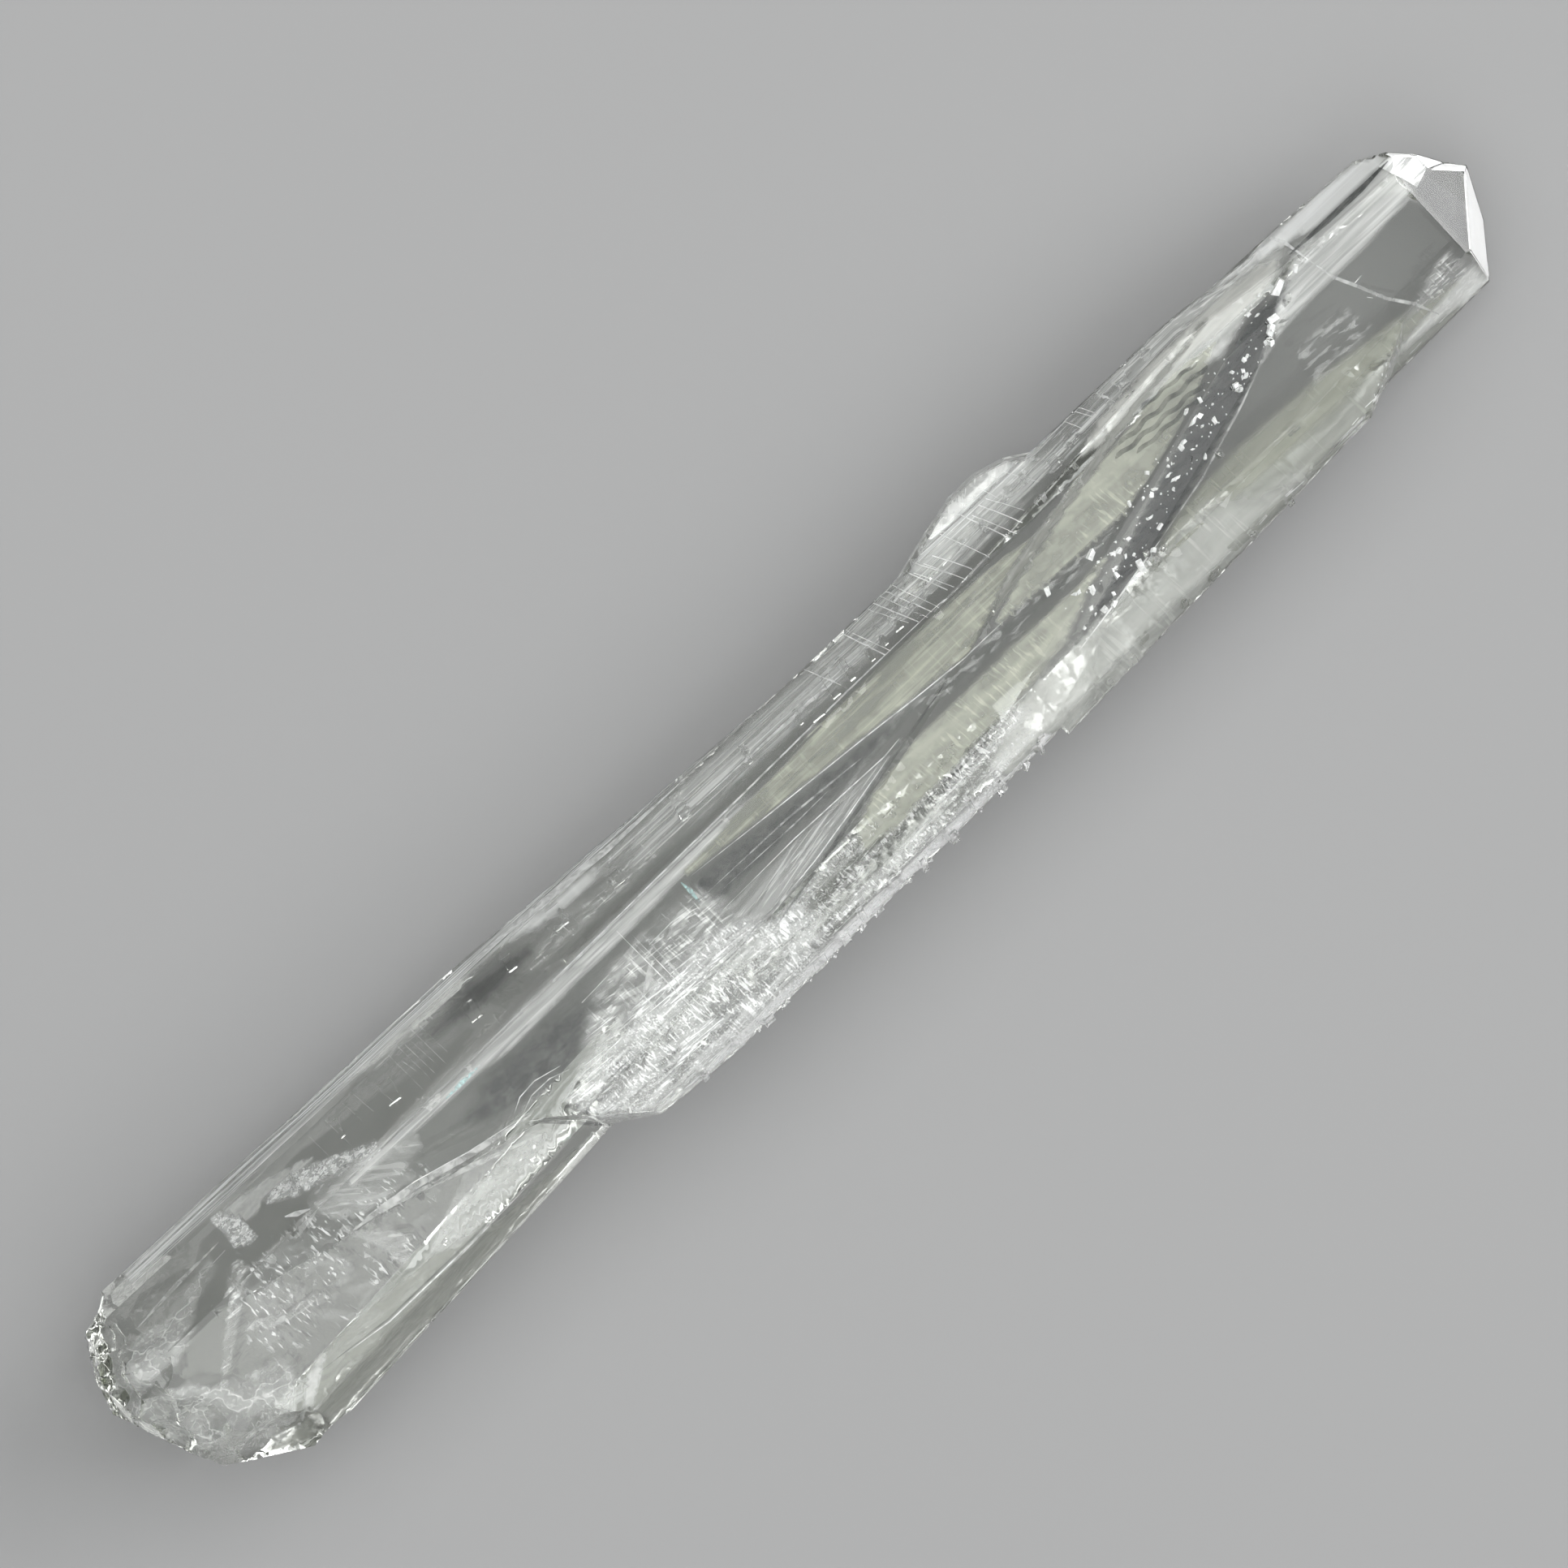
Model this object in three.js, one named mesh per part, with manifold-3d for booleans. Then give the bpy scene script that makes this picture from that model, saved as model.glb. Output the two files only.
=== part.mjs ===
// A long clear quartz crystal point, lying on one of its prism faces.
//
// Millimetres, +Z up. The long axis runs along +X from the broken root to the natural point,
// and the origin is under the middle of the crystal, on the surface that it rests on.
//
// Every growth block is a closed form of flat faces. A prism face is given by the way it looks
// round the long axis and by its distance from that axis at two stations, so a slight taper is
// a difference between the two distances. Blocks that grew together are joined in one solid.

import * as THREE from 'three';
import { mergeVertices } from 'three/addons/utils/BufferGeometryUtils.js';
import Module from 'manifold-3d';

const wasm = await Module();
wasm.setup();

// ---------------------------------------------------------------- driving dimensions

// Stations along the crystal, measured from the middle of its length.
const ROOT_STATION = -60;
const TIP_STATION = 80;
const ROOT_END = -97;
const TIP_END = 96;

// Height of the long axis over the rest face.
const AXIS_HEIGHT = 9;

// Ways the six prism faces look, in degrees round the long axis from +Y towards +Z.
const TOP = 90;
const UPPER_LEFT = 30;
const UPPER_RIGHT = 150;
const LOWER_RIGHT = 210;
const LOWER_LEFT = -30;
const LEFT_BEVEL = 15;

// The block that carries the oldest top terrace, from the root to beyond the middle.
const OLD_BLOCK = {
  faces: [
    [TOP, 11.67, 5.65],
    [UPPER_LEFT, 10.34, 8.6],
    [LEFT_BEVEL, 10.86, 9.84],
    [LOWER_LEFT, 12.4, 12.0],
    [LOWER_LEFT, 13.9, 2.7],
    [UPPER_RIGHT, 12.1, 2.6],
    [LOWER_RIGHT, 8.9, -0.6],
  ],
  reach: 70,
};

// The narrow upper right face, which the blocks short of the point share.
const UPPER_RIGHT_FACE = [UPPER_RIGHT, 15.7, 10.5];

// The block that carries the second terrace.
const MAIN_BLOCK = {
  faces: [
    [TOP, 10.73, 5.69],
    [TOP, 18.9, 4.48],
    [UPPER_LEFT, 5.2, 12.2],
    [UPPER_LEFT, 30, 8.06],
    [LOWER_LEFT, 10.6, 8.05],
    UPPER_RIGHT_FACE,
    [LOWER_RIGHT, 9.3, 7],
    [LOWER_RIGHT, 1.9, 27.4],
  ],
};

// A shoulder beside the channel, a little lower than the top of the block with the point. Its
// left faces are buried in that block.
const SHOULDER_BLOCK = {
  faces: [
    [TOP, 9.04, 4.84],
    [UPPER_LEFT, 6, 6],
    [LOWER_LEFT, 6, 6],
    UPPER_RIGHT_FACE,
    [LOWER_RIGHT, 16.3, 5.9],
  ],
  start: 24,
};

// The block that carries the point.
const TIP_BLOCK = {
  faces: [
    [TOP, 9.16, 4.96],
    [UPPER_LEFT, 8.8, 8.8],
    [LOWER_LEFT, 9.2, 9.2],
    [LOWER_LEFT, 18.2, 8.9],
    [UPPER_RIGHT, 13.5, 6.52],
    [LOWER_RIGHT, 9.8, 9.8],
  ],
  start: -30,
};

// Steps between the terraces: two places on the upper edge, and how far the riser leans out
// from the vertical, in degrees.
const OLD_STEP = { from: [2, -3.4, 18], to: [43.8, 6.68, 16.2], lean: 63 };
const MAIN_STEP = { from: [23, -5.9, 16.74], to: [61.75, 4.67, 15.35], lean: 75 };

// Where the main block ends on the right side, short of the point, and where it starts.
const MAIN_RIGHT_END = { normal: [0.45, -0.85, 0.27], at: [69, -10.2, 13] };
const MAIN_START = { normal: [-0.6, -0.75, 0.3], at: [-34, -12.9, 13.4] };

// A slab has split off the old block's top right, from the root to the main block's start.
const SPLIT_RISER = { normal: [-0.2, -0.95, 0.2], at: [-50, -2.4, 19.6] };
const SPLIT_FLOOR = { normal: [0.043, -0.2, 0.98], at: [-45, -4, 18.3] };

// Faces of the point: a normal and one place on the face.
const POINT_FACES = [
  { normal: [0.618, 0, 0.786], at: [87.5, 0, 13.73] },
  { normal: [0.806, -0.524, 0.276], at: [93.4, 1.52, 9.1] },
  { normal: [0.618, 0.681, -0.393], at: [85.8, 9.86, 9.4] },
  { normal: [0.561, -0.687, -0.467], at: [87.75, -9.18, 5.3] },
  { normal: [0.746, 0.187, -0.64], at: [94, 1.2, 7.3] },
];

// The point has two heads, a blunt one on the left and the foremost one beside it.
const BLUNT_HEAD_FACES = [
  { normal: [0.741, 0.639, 0.206], at: [88.6, 8.16, 12.87] },
  { normal: [0.833, 0.017, 0.553], at: [90.75, 4.35, 11.18] },
];
const FOREMOST_HEAD_FACES = [
  { normal: [0.798, 0.486, 0.355], at: [93.4, 1.52, 9.1] },
];

// A narrow bevel along the ridge between top and upper left near the point.
const RIDGE_BEVEL = { normal: [0.009, 0.707, 0.707], at: [84, 8.06, 12.64] };
const RIDGE_BEVEL_START = { normal: [-0.9, 0, 0.43], at: [74.5, 7.5, 14] };

// A small lens of quartz grown on the left edge: its outline in plan, its roof and its floor.
const LENS_OUTLINE = [
  [23.3, 10.7],
  [28, 11.9],
  [31, 12.8],
  [35, 12.9],
  [38.5, 11.9],
  [40.8, 10.4],
];
const LENS_ROOF = { normal: [0, 0.5, 0.866], at: [32, 10.2, 12.1] };
const LENS_FLOOR = { normal: [0, 0.35, -0.94], at: [32, 12, 6.2] };
const LENS_WALL_RISE = 0.1;
const LENS_BLANK = { size: [24, 8, 12], middle: [32, 10, 9] };

// The broken root: its coarse breaks, then hollows scooped out of them, as conchoidal
// fracture leaves. The hollows lie on a low dome that is foremost on the axis.
const ROOT_BREAKS = [
  { normal: [-0.5, -0.86, 0.12], at: [-85.5, -11.7, 12] },
  { normal: [-0.92, -0.38, 0.05], at: [-93.6, -2, 8] },
  { normal: [-0.86, 0.44, -0.22], at: [-93, 7.6, 9] },
  { normal: [-0.62, 0.1, 0.78], at: [-91.5, 2, 20] },
  { normal: [-0.45, -0.62, 0.67], at: [-86.5, -8.5, 17.6] },
  { normal: [-0.74, 0.12, -0.66], at: [-93, 0, 3.2] },
];
const ROOT_HOLLOWS = {
  seed: 23,
  count: 34,
  radius: [2.4, 10],
  depth: [0.8, 2.1],
  spread: [-12.5, 12.5],
  height: [1, 21],
  dome: { foremost: -95.2, bendY: 0.045, bendZ: 0.035 },
  roll: [0, 6],
  stretch: [0.75, 1.25],
  smallBias: 1.5,
};

// Larger flakes knocked off the rims of the root, as [x, y, z, radius of the hollow].
const ROOT_FLAKES = [
  [-86, -15.5, 19.5, 8.5],
  [-91, -4.5, 26, 7.5],
  [-84, -10.2, 24.2, 6.2],
  [-90, 5.5, 26.8, 6.4],
  [-94, 14.5, 17.5, 7],
  [-79.5, -20.5, 12, 7.5],
  [-95.5, -12, 1, 7.5],
  [-97, 8, 0, 6.5],
];
const BALL_DETAIL = 2;
const FLAKE_DETAIL = 3;

// Growth ledges: thin plates that stand out from a prism face, in rows across it. `across` is
// where the middle of a plate may lie, measured on the face from the foot of the axis. Each
// plate has its own cell of the row, and lies in the middle part of it. Most plates are short.
const LEDGE_ROWS = [
  {
    block: 'old', face: 1, count: 9, seed: 3,
    along: [-70, 2], across: [-1.6, 1.6], width: [2.5, 5.5], length: [0.5, 2.4],
  },
  {
    block: 'old', face: 1, count: 9, seed: 4,
    along: [3, 25], across: [-2.2, 1], width: [2.6, 4.4], length: [0.35, 1.5],
  },
  {
    block: 'main', face: 2, count: 9, seed: 5,
    along: [27, 58], across: [-0.4, 2.6], width: [1.6, 3.6], length: [0.35, 1.6],
  },
  {
    block: 'main', face: 5, count: 13, seed: 8,
    along: [-28, 22], across: [-2, 1.4], width: [1.6, 3.2], length: [0.5, 2.6],
  },
  {
    block: 'main', face: 5, count: 6, seed: 13,
    along: [28, 60], across: [-2.6, -1], width: [1.2, 2.4], length: [0.5, 2.4],
  },
  {
    block: 'main', face: 6, count: 16, seed: 21,
    along: [-26, 22], across: [-1.5, 7], width: [3, 7], length: [0.5, 2.8],
  },
  {
    block: 'main', face: 4, count: 9, seed: 34,
    along: [0, 52], across: [-2.6, 2.2], width: [3, 5], length: [0.5, 3.2],
  },
  {
    block: 'old', face: 6, count: 6, seed: 55,
    along: [-78, -44], across: [-2.5, 4], width: [3, 6], length: [0.5, 3.2],
  },
  {
    block: 'old', face: 3, count: 7, seed: 89,
    along: [-82, -40], across: [-0.4, 0.8], width: [2.4, 4.2], length: [0.5, 2.8],
  },
];
const LEDGE_LIFT = [0.1, 0.22];
const LEDGE_CELL_SHARE = [0.15, 0.85];
const LEDGE_SHORT_BIAS = 2;
const LEDGE_SKEW = -7;
const LEDGE_THICKNESS = 1.2;

// Small crystals on the terrace below the main step, as [x, y, radius].
const STEP_CRYSTALS = [
  [34.8, -5.2, 0.5],
  [36.5, -5.6, 0.6],
  [42.5, -4.4, 0.7],
  [44, -5.2, 0.55],
  [52.5, -0.4, 0.55],
  [54.8, -2.2, 0.6],
  [60.8, 1.7, 0.8],
  [66.6, 3, 0.7],
  [67.6, 3.9, 0.85],
  [68.8, 3.4, 0.6],
  [70.8, 4.8, 0.75],
];
const STEP_CRYSTAL_SINK = 0.1;

// Every small crystal is an octahedron, stretched along x, y and z, then tilted and turned.
const SMALL_CRYSTAL_STRETCH = [1.3, 0.8, 1];
const SMALL_CRYSTAL_TILT_SHARE = 0.7;

// Teeth along the rough right edge, between two places on it: spacing is even, size varies.
const EDGE_TEETH = {
  seed: 17,
  count: 13,
  from: [-24, -12.9, 14.5],
  to: [21, -11.85, 13.7],
  rise: [-0.35, 0.35],
  size: [0.55, 0.95],
  cellShare: [0.2, 0.8],
  turn: [0, 2],
};

// Chips broken out of the left edge, as [x, y, z, radius].
const EDGE_CHIPS = [
  [-58, 13, 4.6, 0.9],
  [-36.6, 13.1, 4.8, 1.1],
  [-20.4, 11.9, 6, 0.9],
  [-6, 11.2, 8, 0.7],
  [19.6, 11.1, 9, 0.9],
  [54, 11.6, 11.6, 0.9],
  [79, 10.6, 8.9, 0.6],
];

// ---------------------------------------------------------------- solids from planes

// Both are larger than the crystal: the side of a cutting box, and of a block before it is cut.
const BOX_SPAN = 400;
const BAR_SIDE = 80;
const AXIS_Z = new THREE.Vector3(0, 0, 1);

function planeAt({ normal, at }) {
  const direction = new THREE.Vector3(...normal).normalize();
  return new THREE.Plane().setFromNormalAndCoplanarPoint(direction, new THREE.Vector3(...at));
}

function prismPlane([turn, atRoot, atTip]) {
  const angle = THREE.MathUtils.degToRad(turn);
  const taper = (atTip - atRoot) / (TIP_STATION - ROOT_STATION);
  const outY = Math.cos(angle);
  const outZ = Math.sin(angle);
  return planeAt({
    normal: [-taper, outY, outZ],
    at: [ROOT_STATION, atRoot * outY, AXIS_HEIGHT + atRoot * outZ],
  });
}

// The riser of a terrace: it holds the step's edge and falls away to the right of it.
function riserPlane({ from, to, lean }) {
  const edge = new THREE.Vector3(...to).sub(new THREE.Vector3(...from)).normalize();
  const right = new THREE.Vector3(edge.y, -edge.x, 0).normalize();
  const fall = right.multiplyScalar(Math.sin(THREE.MathUtils.degToRad(lean)));
  fall.z = -Math.cos(THREE.MathUtils.degToRad(lean));
  const normal = new THREE.Vector3().crossVectors(fall, edge);
  return planeAt({ normal: normal.toArray(), at: from });
}

function solidOf(geometry) {
  const bare = geometry.clone();
  bare.deleteAttribute('normal');
  bare.deleteAttribute('uv');
  const merged = mergeVertices(bare);
  const mesh = new wasm.Mesh({
    numProp: 3,
    vertProperties: new Float32Array(merged.attributes.position.array),
    triVerts: new Uint32Array(merged.index.array),
  });
  return new wasm.Manifold(mesh);
}

// A big box that fills everything beyond a plane.
function beyond(plane) {
  const box = new THREE.BoxGeometry(BOX_SPAN, BOX_SPAN, BOX_SPAN);
  box.translate(0, 0, BOX_SPAN / 2);
  box.applyQuaternion(new THREE.Quaternion().setFromUnitVectors(AXIS_Z, plane.normal));
  const foot = plane.coplanarPoint(new THREE.Vector3());
  box.translate(foot.x, foot.y, foot.z);
  return solidOf(box);
}

function cutByPlanes(solid, planes) {
  return planes.reduce((rest, plane) => rest.subtract(beyond(plane)), solid);
}

function rawBar(start, end) {
  const bar = new THREE.BoxGeometry(end - start, BAR_SIDE, BAR_SIDE);
  bar.translate((start + end) / 2, 0, 0);
  return solidOf(bar);
}

// ---------------------------------------------------------------- growth blocks

function oldBlock() {
  const planes = OLD_BLOCK.faces.map(prismPlane);
  planes.push(riserPlane(OLD_STEP));
  const block = cutByPlanes(rawBar(ROOT_END, OLD_BLOCK.reach), planes);
  const splitSides = [MAIN_START, SPLIT_RISER, SPLIT_FLOOR].map(planeAt);
  const splitOff = splitSides.map(beyond).reduce((common, side) => common.intersect(side));
  return block.subtract(splitOff);
}

function mainBlock() {
  const planes = MAIN_BLOCK.faces.map(prismPlane);
  planes.push(riserPlane(MAIN_STEP), planeAt(MAIN_RIGHT_END), planeAt(MAIN_START));
  return cutByPlanes(rawBar(ROOT_STATION, TIP_STATION), planes);
}

function shoulderBlock() {
  const planes = [...SHOULDER_BLOCK.faces.map(prismPlane), planeAt(MAIN_RIGHT_END)];
  return cutByPlanes(rawBar(SHOULDER_BLOCK.start, TIP_STATION), planes);
}

function tipBlock() {
  const prism = cutByPlanes(rawBar(TIP_BLOCK.start, TIP_END), TIP_BLOCK.faces.map(prismPlane));
  const bluntHead = cutByPlanes(prism, BLUNT_HEAD_FACES.map(planeAt));
  const foremostHead = cutByPlanes(prism, FOREMOST_HEAD_FACES.map(planeAt));
  const heads = cutByPlanes(bluntHead.add(foremostHead), POINT_FACES.map(planeAt));
  const bevel = beyond(planeAt(RIDGE_BEVEL)).subtract(beyond(planeAt(RIDGE_BEVEL_START)));
  return heads.subtract(bevel);
}

function lens() {
  const planes = [planeAt(LENS_ROOF), planeAt(LENS_FLOOR)];
  for (let i = 1; i < LENS_OUTLINE.length; i += 1) {
    const [x0, y0] = LENS_OUTLINE[i - 1];
    const [x1, y1] = LENS_OUTLINE[i];
    planes.push(planeAt({ normal: [y0 - y1, x1 - x0, LENS_WALL_RISE], at: [x0, y0, AXIS_HEIGHT] }));
  }
  const blank = new THREE.BoxGeometry(...LENS_BLANK.size);
  blank.translate(...LENS_BLANK.middle);
  return cutByPlanes(solidOf(blank), planes);
}

// ---------------------------------------------------------------- relief on the blocks

// A seeded stream of numbers from 0 to 1, so that the crystal is the same each time. It is the
// usual 32-bit mixing generator, and these are its constants.
const STREAM = { step: 0x6d2b79f5, factor: 61, shifts: [15, 7, 14], range: 2 ** 32 };

function randomStream(seed) {
  const [first, second, third] = STREAM.shifts;
  let state = seed;
  return () => {
    state = (state + STREAM.step) | 0;
    let mixed = Math.imul(state ^ (state >>> first), 1 | state);
    mixed = (mixed + Math.imul(mixed ^ (mixed >>> second), STREAM.factor | mixed)) ^ mixed;
    return ((mixed ^ (mixed >>> third)) >>> 0) / STREAM.range;
  };
}

function between([low, high], share) {
  return low + (high - low) * share;
}

// A thin plate lying on a prism face, its long side across the crystal.
function ledge([turn, atRoot, atTip], station, across, size) {
  const angle = THREE.MathUtils.degToRad(turn);
  const share = (station - ROOT_STATION) / (TIP_STATION - ROOT_STATION);
  const outward = between([atRoot, atTip], share) + size.lift - LEDGE_THICKNESS / 2;
  const plate = new THREE.BoxGeometry(size.length, size.width, LEDGE_THICKNESS);
  plate.rotateZ(THREE.MathUtils.degToRad(LEDGE_SKEW));
  plate.rotateY(-Math.atan((atTip - atRoot) / (TIP_STATION - ROOT_STATION)));
  plate.translate(station, across, outward);
  plate.rotateX(angle - Math.PI / 2);
  plate.translate(0, 0, AXIS_HEIGHT);
  return solidOf(plate);
}

function ledges() {
  const blocks = { old: OLD_BLOCK.faces, main: MAIN_BLOCK.faces };
  return LEDGE_ROWS.flatMap((row) => {
    const random = randomStream(row.seed);
    return Array.from({ length: row.count }, (_, i) => {
      const station = between(row.along, (i + between(LEDGE_CELL_SHARE, random())) / row.count);
      const across = between(row.across, random());
      const size = {
        length: between(row.length, random() ** LEDGE_SHORT_BIAS),
        width: between(row.width, random()),
        lift: between(LEDGE_LIFT, random()),
      };
      return ledge(blocks[row.block][row.face], station, across, size);
    });
  });
}

function smallCrystal([x, y, z, radius], turn) {
  const form = new THREE.OctahedronGeometry(radius);
  form.scale(...SMALL_CRYSTAL_STRETCH);
  form.rotateY(turn * SMALL_CRYSTAL_TILT_SHARE);
  form.rotateZ(turn);
  form.translate(x, y, z);
  return solidOf(form);
}

function stepCrystals() {
  const terrace = prismPlane(TIP_BLOCK.faces[0]);
  return STEP_CRYSTALS.map(([x, y, radius], i) => {
    const high = new THREE.Vector3(x, y, BOX_SPAN);
    const foot = terrace.intersectLine(new THREE.Line3(high, new THREE.Vector3(x, y, 0)), high);
    return smallCrystal([x, y, foot.z - STEP_CRYSTAL_SINK, radius], i);
  });
}

function edgeTeeth() {
  const { seed, count, from, to, rise, size, cellShare, turn } = EDGE_TEETH;
  const random = randomStream(seed);
  return Array.from({ length: count }, (_, i) => {
    const share = (i + between(cellShare, random())) / count;
    const place = new THREE.Vector3(...from).lerp(new THREE.Vector3(...to), share);
    place.z += between(rise, random());
    return smallCrystal([...place, between(size, random())], between(turn, random()));
  });
}

// Balls that take conchoidal hollows out of the broken root.
function rootHollows() {
  const { seed, count, radius, depth, spread, height, dome, roll, stretch, smallBias } = ROOT_HOLLOWS;
  const random = randomStream(seed);
  return Array.from({ length: count }, () => {
    const y = between(spread, random());
    const z = between(height, random());
    const offZ = z - AXIS_HEIGHT;
    const x = dome.foremost + dome.bendY * y * y + dome.bendZ * offZ * offZ;
    const outward = new THREE.Vector3(-1, 2 * dome.bendY * y, 2 * dome.bendZ * offZ).normalize();
    const size = between(radius, random() ** smallBias);
    const ball = new THREE.IcosahedronGeometry(size, BALL_DETAIL);
    ball.rotateX(between(roll, random()));
    ball.scale(1, 1, between(stretch, random()));
    const lift = size - between(depth, random());
    ball.translate(x + outward.x * lift, y + outward.y * lift, z + outward.z * lift);
    return solidOf(ball);
  });
}

function rootFlakes() {
  return ROOT_FLAKES.map(([x, y, z, radius], i) => {
    const ball = new THREE.IcosahedronGeometry(radius, FLAKE_DETAIL);
    ball.rotateZ(i);
    ball.translate(x, y, z);
    return solidOf(ball);
  });
}

// ---------------------------------------------------------------- assembly

const REST_FACE = { normal: [0, 0, -1], at: [0, 0, 0] };

function crystalSolid() {
  const blocks = [mainBlock(), shoulderBlock(), tipBlock(), lens()];
  const additions = [...blocks, ...ledges(), ...stepCrystals(), ...edgeTeeth()];
  const grown = additions.reduce((whole, piece) => whole.add(piece), oldBlock());
  const chips = EDGE_CHIPS.map((place, i) => smallCrystal(place, i));
  const losses = [...rootHollows(), ...rootFlakes(), ...chips];
  const broken = losses.reduce((whole, piece) => whole.subtract(piece), grown);
  return cutByPlanes(broken, [...ROOT_BREAKS, REST_FACE].map(planeAt));
}

function geometryOf(solid) {
  const mesh = solid.getMesh();
  const geometry = new THREE.BufferGeometry();
  geometry.setAttribute('position', new THREE.BufferAttribute(new Float32Array(mesh.vertProperties), 3));
  geometry.setIndex(new THREE.BufferAttribute(new Uint32Array(mesh.triVerts), 1));
  geometry.computeBoundingBox();
  return geometry;
}

function centred(geometry) {
  const middle = geometry.boundingBox.getCenter(new THREE.Vector3());
  geometry.translate(-middle.x, -middle.y, -geometry.boundingBox.min.z);
  return geometry;
}

const clearQuartz = new THREE.MeshStandardMaterial({
  color: 0xe3e6e0,
  roughness: 0.06,
  metalness: 0,
  transparent: true,
  opacity: 0.35,
});

const crystal = new THREE.Mesh(centred(geometryOf(crystalSolid())), clearQuartz);
crystal.name = 'quartz_crystal';

const model = new THREE.Group();
model.add(crystal);

export default model;
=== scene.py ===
"""A long clear quartz point on a plain pale floor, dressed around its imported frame.

Metres, +Z up. The long axis runs along +X, from the broken root to the natural point, and the
crystal rests on z = 0. Lengths are written in millimetres times MM.
"""

import math

import bmesh
import bpy
import numpy as np
from mathutils import Matrix, Vector
from mathutils.bvhtree import BVHTree


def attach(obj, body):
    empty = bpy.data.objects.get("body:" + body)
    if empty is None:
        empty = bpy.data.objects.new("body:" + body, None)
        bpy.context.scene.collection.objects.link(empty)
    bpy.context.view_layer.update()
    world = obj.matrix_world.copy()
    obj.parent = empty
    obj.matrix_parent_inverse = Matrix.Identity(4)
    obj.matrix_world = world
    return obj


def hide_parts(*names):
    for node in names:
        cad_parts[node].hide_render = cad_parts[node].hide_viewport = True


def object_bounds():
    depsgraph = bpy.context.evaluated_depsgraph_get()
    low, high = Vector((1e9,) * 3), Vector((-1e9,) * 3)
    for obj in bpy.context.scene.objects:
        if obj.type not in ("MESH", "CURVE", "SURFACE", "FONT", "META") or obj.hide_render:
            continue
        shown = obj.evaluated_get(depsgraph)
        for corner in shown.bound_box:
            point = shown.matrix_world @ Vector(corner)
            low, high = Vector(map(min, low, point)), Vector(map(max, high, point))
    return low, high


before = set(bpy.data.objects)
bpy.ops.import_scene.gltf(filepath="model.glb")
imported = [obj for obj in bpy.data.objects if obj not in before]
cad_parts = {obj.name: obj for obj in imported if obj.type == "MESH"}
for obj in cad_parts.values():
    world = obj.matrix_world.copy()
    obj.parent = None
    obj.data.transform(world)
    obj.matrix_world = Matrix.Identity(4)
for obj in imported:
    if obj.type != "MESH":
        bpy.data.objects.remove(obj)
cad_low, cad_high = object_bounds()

MM = 0.001
NODE = "quartz_crystal"
BODY = "root"
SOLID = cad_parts[NODE].data

# -------- seeded noise

# Large odd numbers that spread neighbouring cells and seeds far apart.
CELL_STEPS = (73856093, 19349663, 83492791)
SEED_STEP, SEED_START = 7919, 17
MIXES_AND_SHIFTS = ((0x9E3779B1, 15), (0x85EBCA6B, 13))
HASH_MASK = 0xFFFFFFFF


def hashed(cells, seed):
    """A number from 0 to 1 for each whole-numbered lattice cell."""
    key = np.full(len(cells), seed * SEED_STEP + SEED_START, np.uint64)
    for column, step in enumerate(CELL_STEPS):
        key ^= cells[:, column].astype(np.int64).astype(np.uint64) * np.uint64(step)
    mask = np.uint64(HASH_MASK)
    for mix, shift in MIXES_AND_SHIFTS:
        key = (key & mask) * np.uint64(mix) & mask
        key ^= key >> np.uint64(shift)
    return key.astype(float) / HASH_MASK


def value_noise(points, seed):
    """Smooth noise from 0 to 1 at points given in cells."""
    low = np.floor(points)
    part = points - low
    part = part * part * (3 - 2 * part)
    total = np.zeros(len(points))
    for corner in np.ndindex(2, 2, 2):
        share = np.ones(len(points))
        for column, side in enumerate(corner):
            share *= part[:, column] if side else 1 - part[:, column]
        total += share * hashed(low + corner, seed)
    return total


def ramp(values, low, high):
    """0 below the low value, 1 above the high one, and a smooth rise between them."""
    part = np.clip((values - low) / (high - low), 0, 1)
    return part * part * (3 - 2 * part)


# -------- dicing of the crystal's faces

WELD = 0.0005 * MM
FLAT_ANGLE = math.radians(0.2)
CHUNK_LENGTH = 12 * MM
CELL_ALONG = 0.3 * MM
CELL_ACROSS = 0.8 * MM


def planes_between(low, high, step):
    """Evenly spaced places strictly between low and high, no more than a step apart."""
    count = max(1, math.ceil((high - low) / step))
    return [low + (high - low) * i / count for i in range(1, count)]


def cut(bm, axis, place, keep_above=True, keep_below=True):
    """Cuts the mesh by a plane square to the axis, and drops the sides that aren't kept."""
    normal = Vector((0, 0, 0))
    normal[axis] = 1
    bmesh.ops.bisect_plane(
        bm,
        geom=bm.verts[:] + bm.edges[:] + bm.faces[:],
        dist=WELD / 10,
        plane_co=normal * place,
        plane_no=normal,
        clear_outer=not keep_above,
        clear_inner=not keep_below,
    )


def flat_faced():
    """The CAD solid, with the triangles of each flat face joined."""
    bm = bmesh.new()
    bm.from_mesh(SOLID)
    bmesh.ops.remove_doubles(bm, verts=bm.verts, dist=WELD)
    bmesh.ops.dissolve_limit(bm, angle_limit=FLAT_ANGLE, verts=bm.verts, edges=bm.edges)
    return bm


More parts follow.
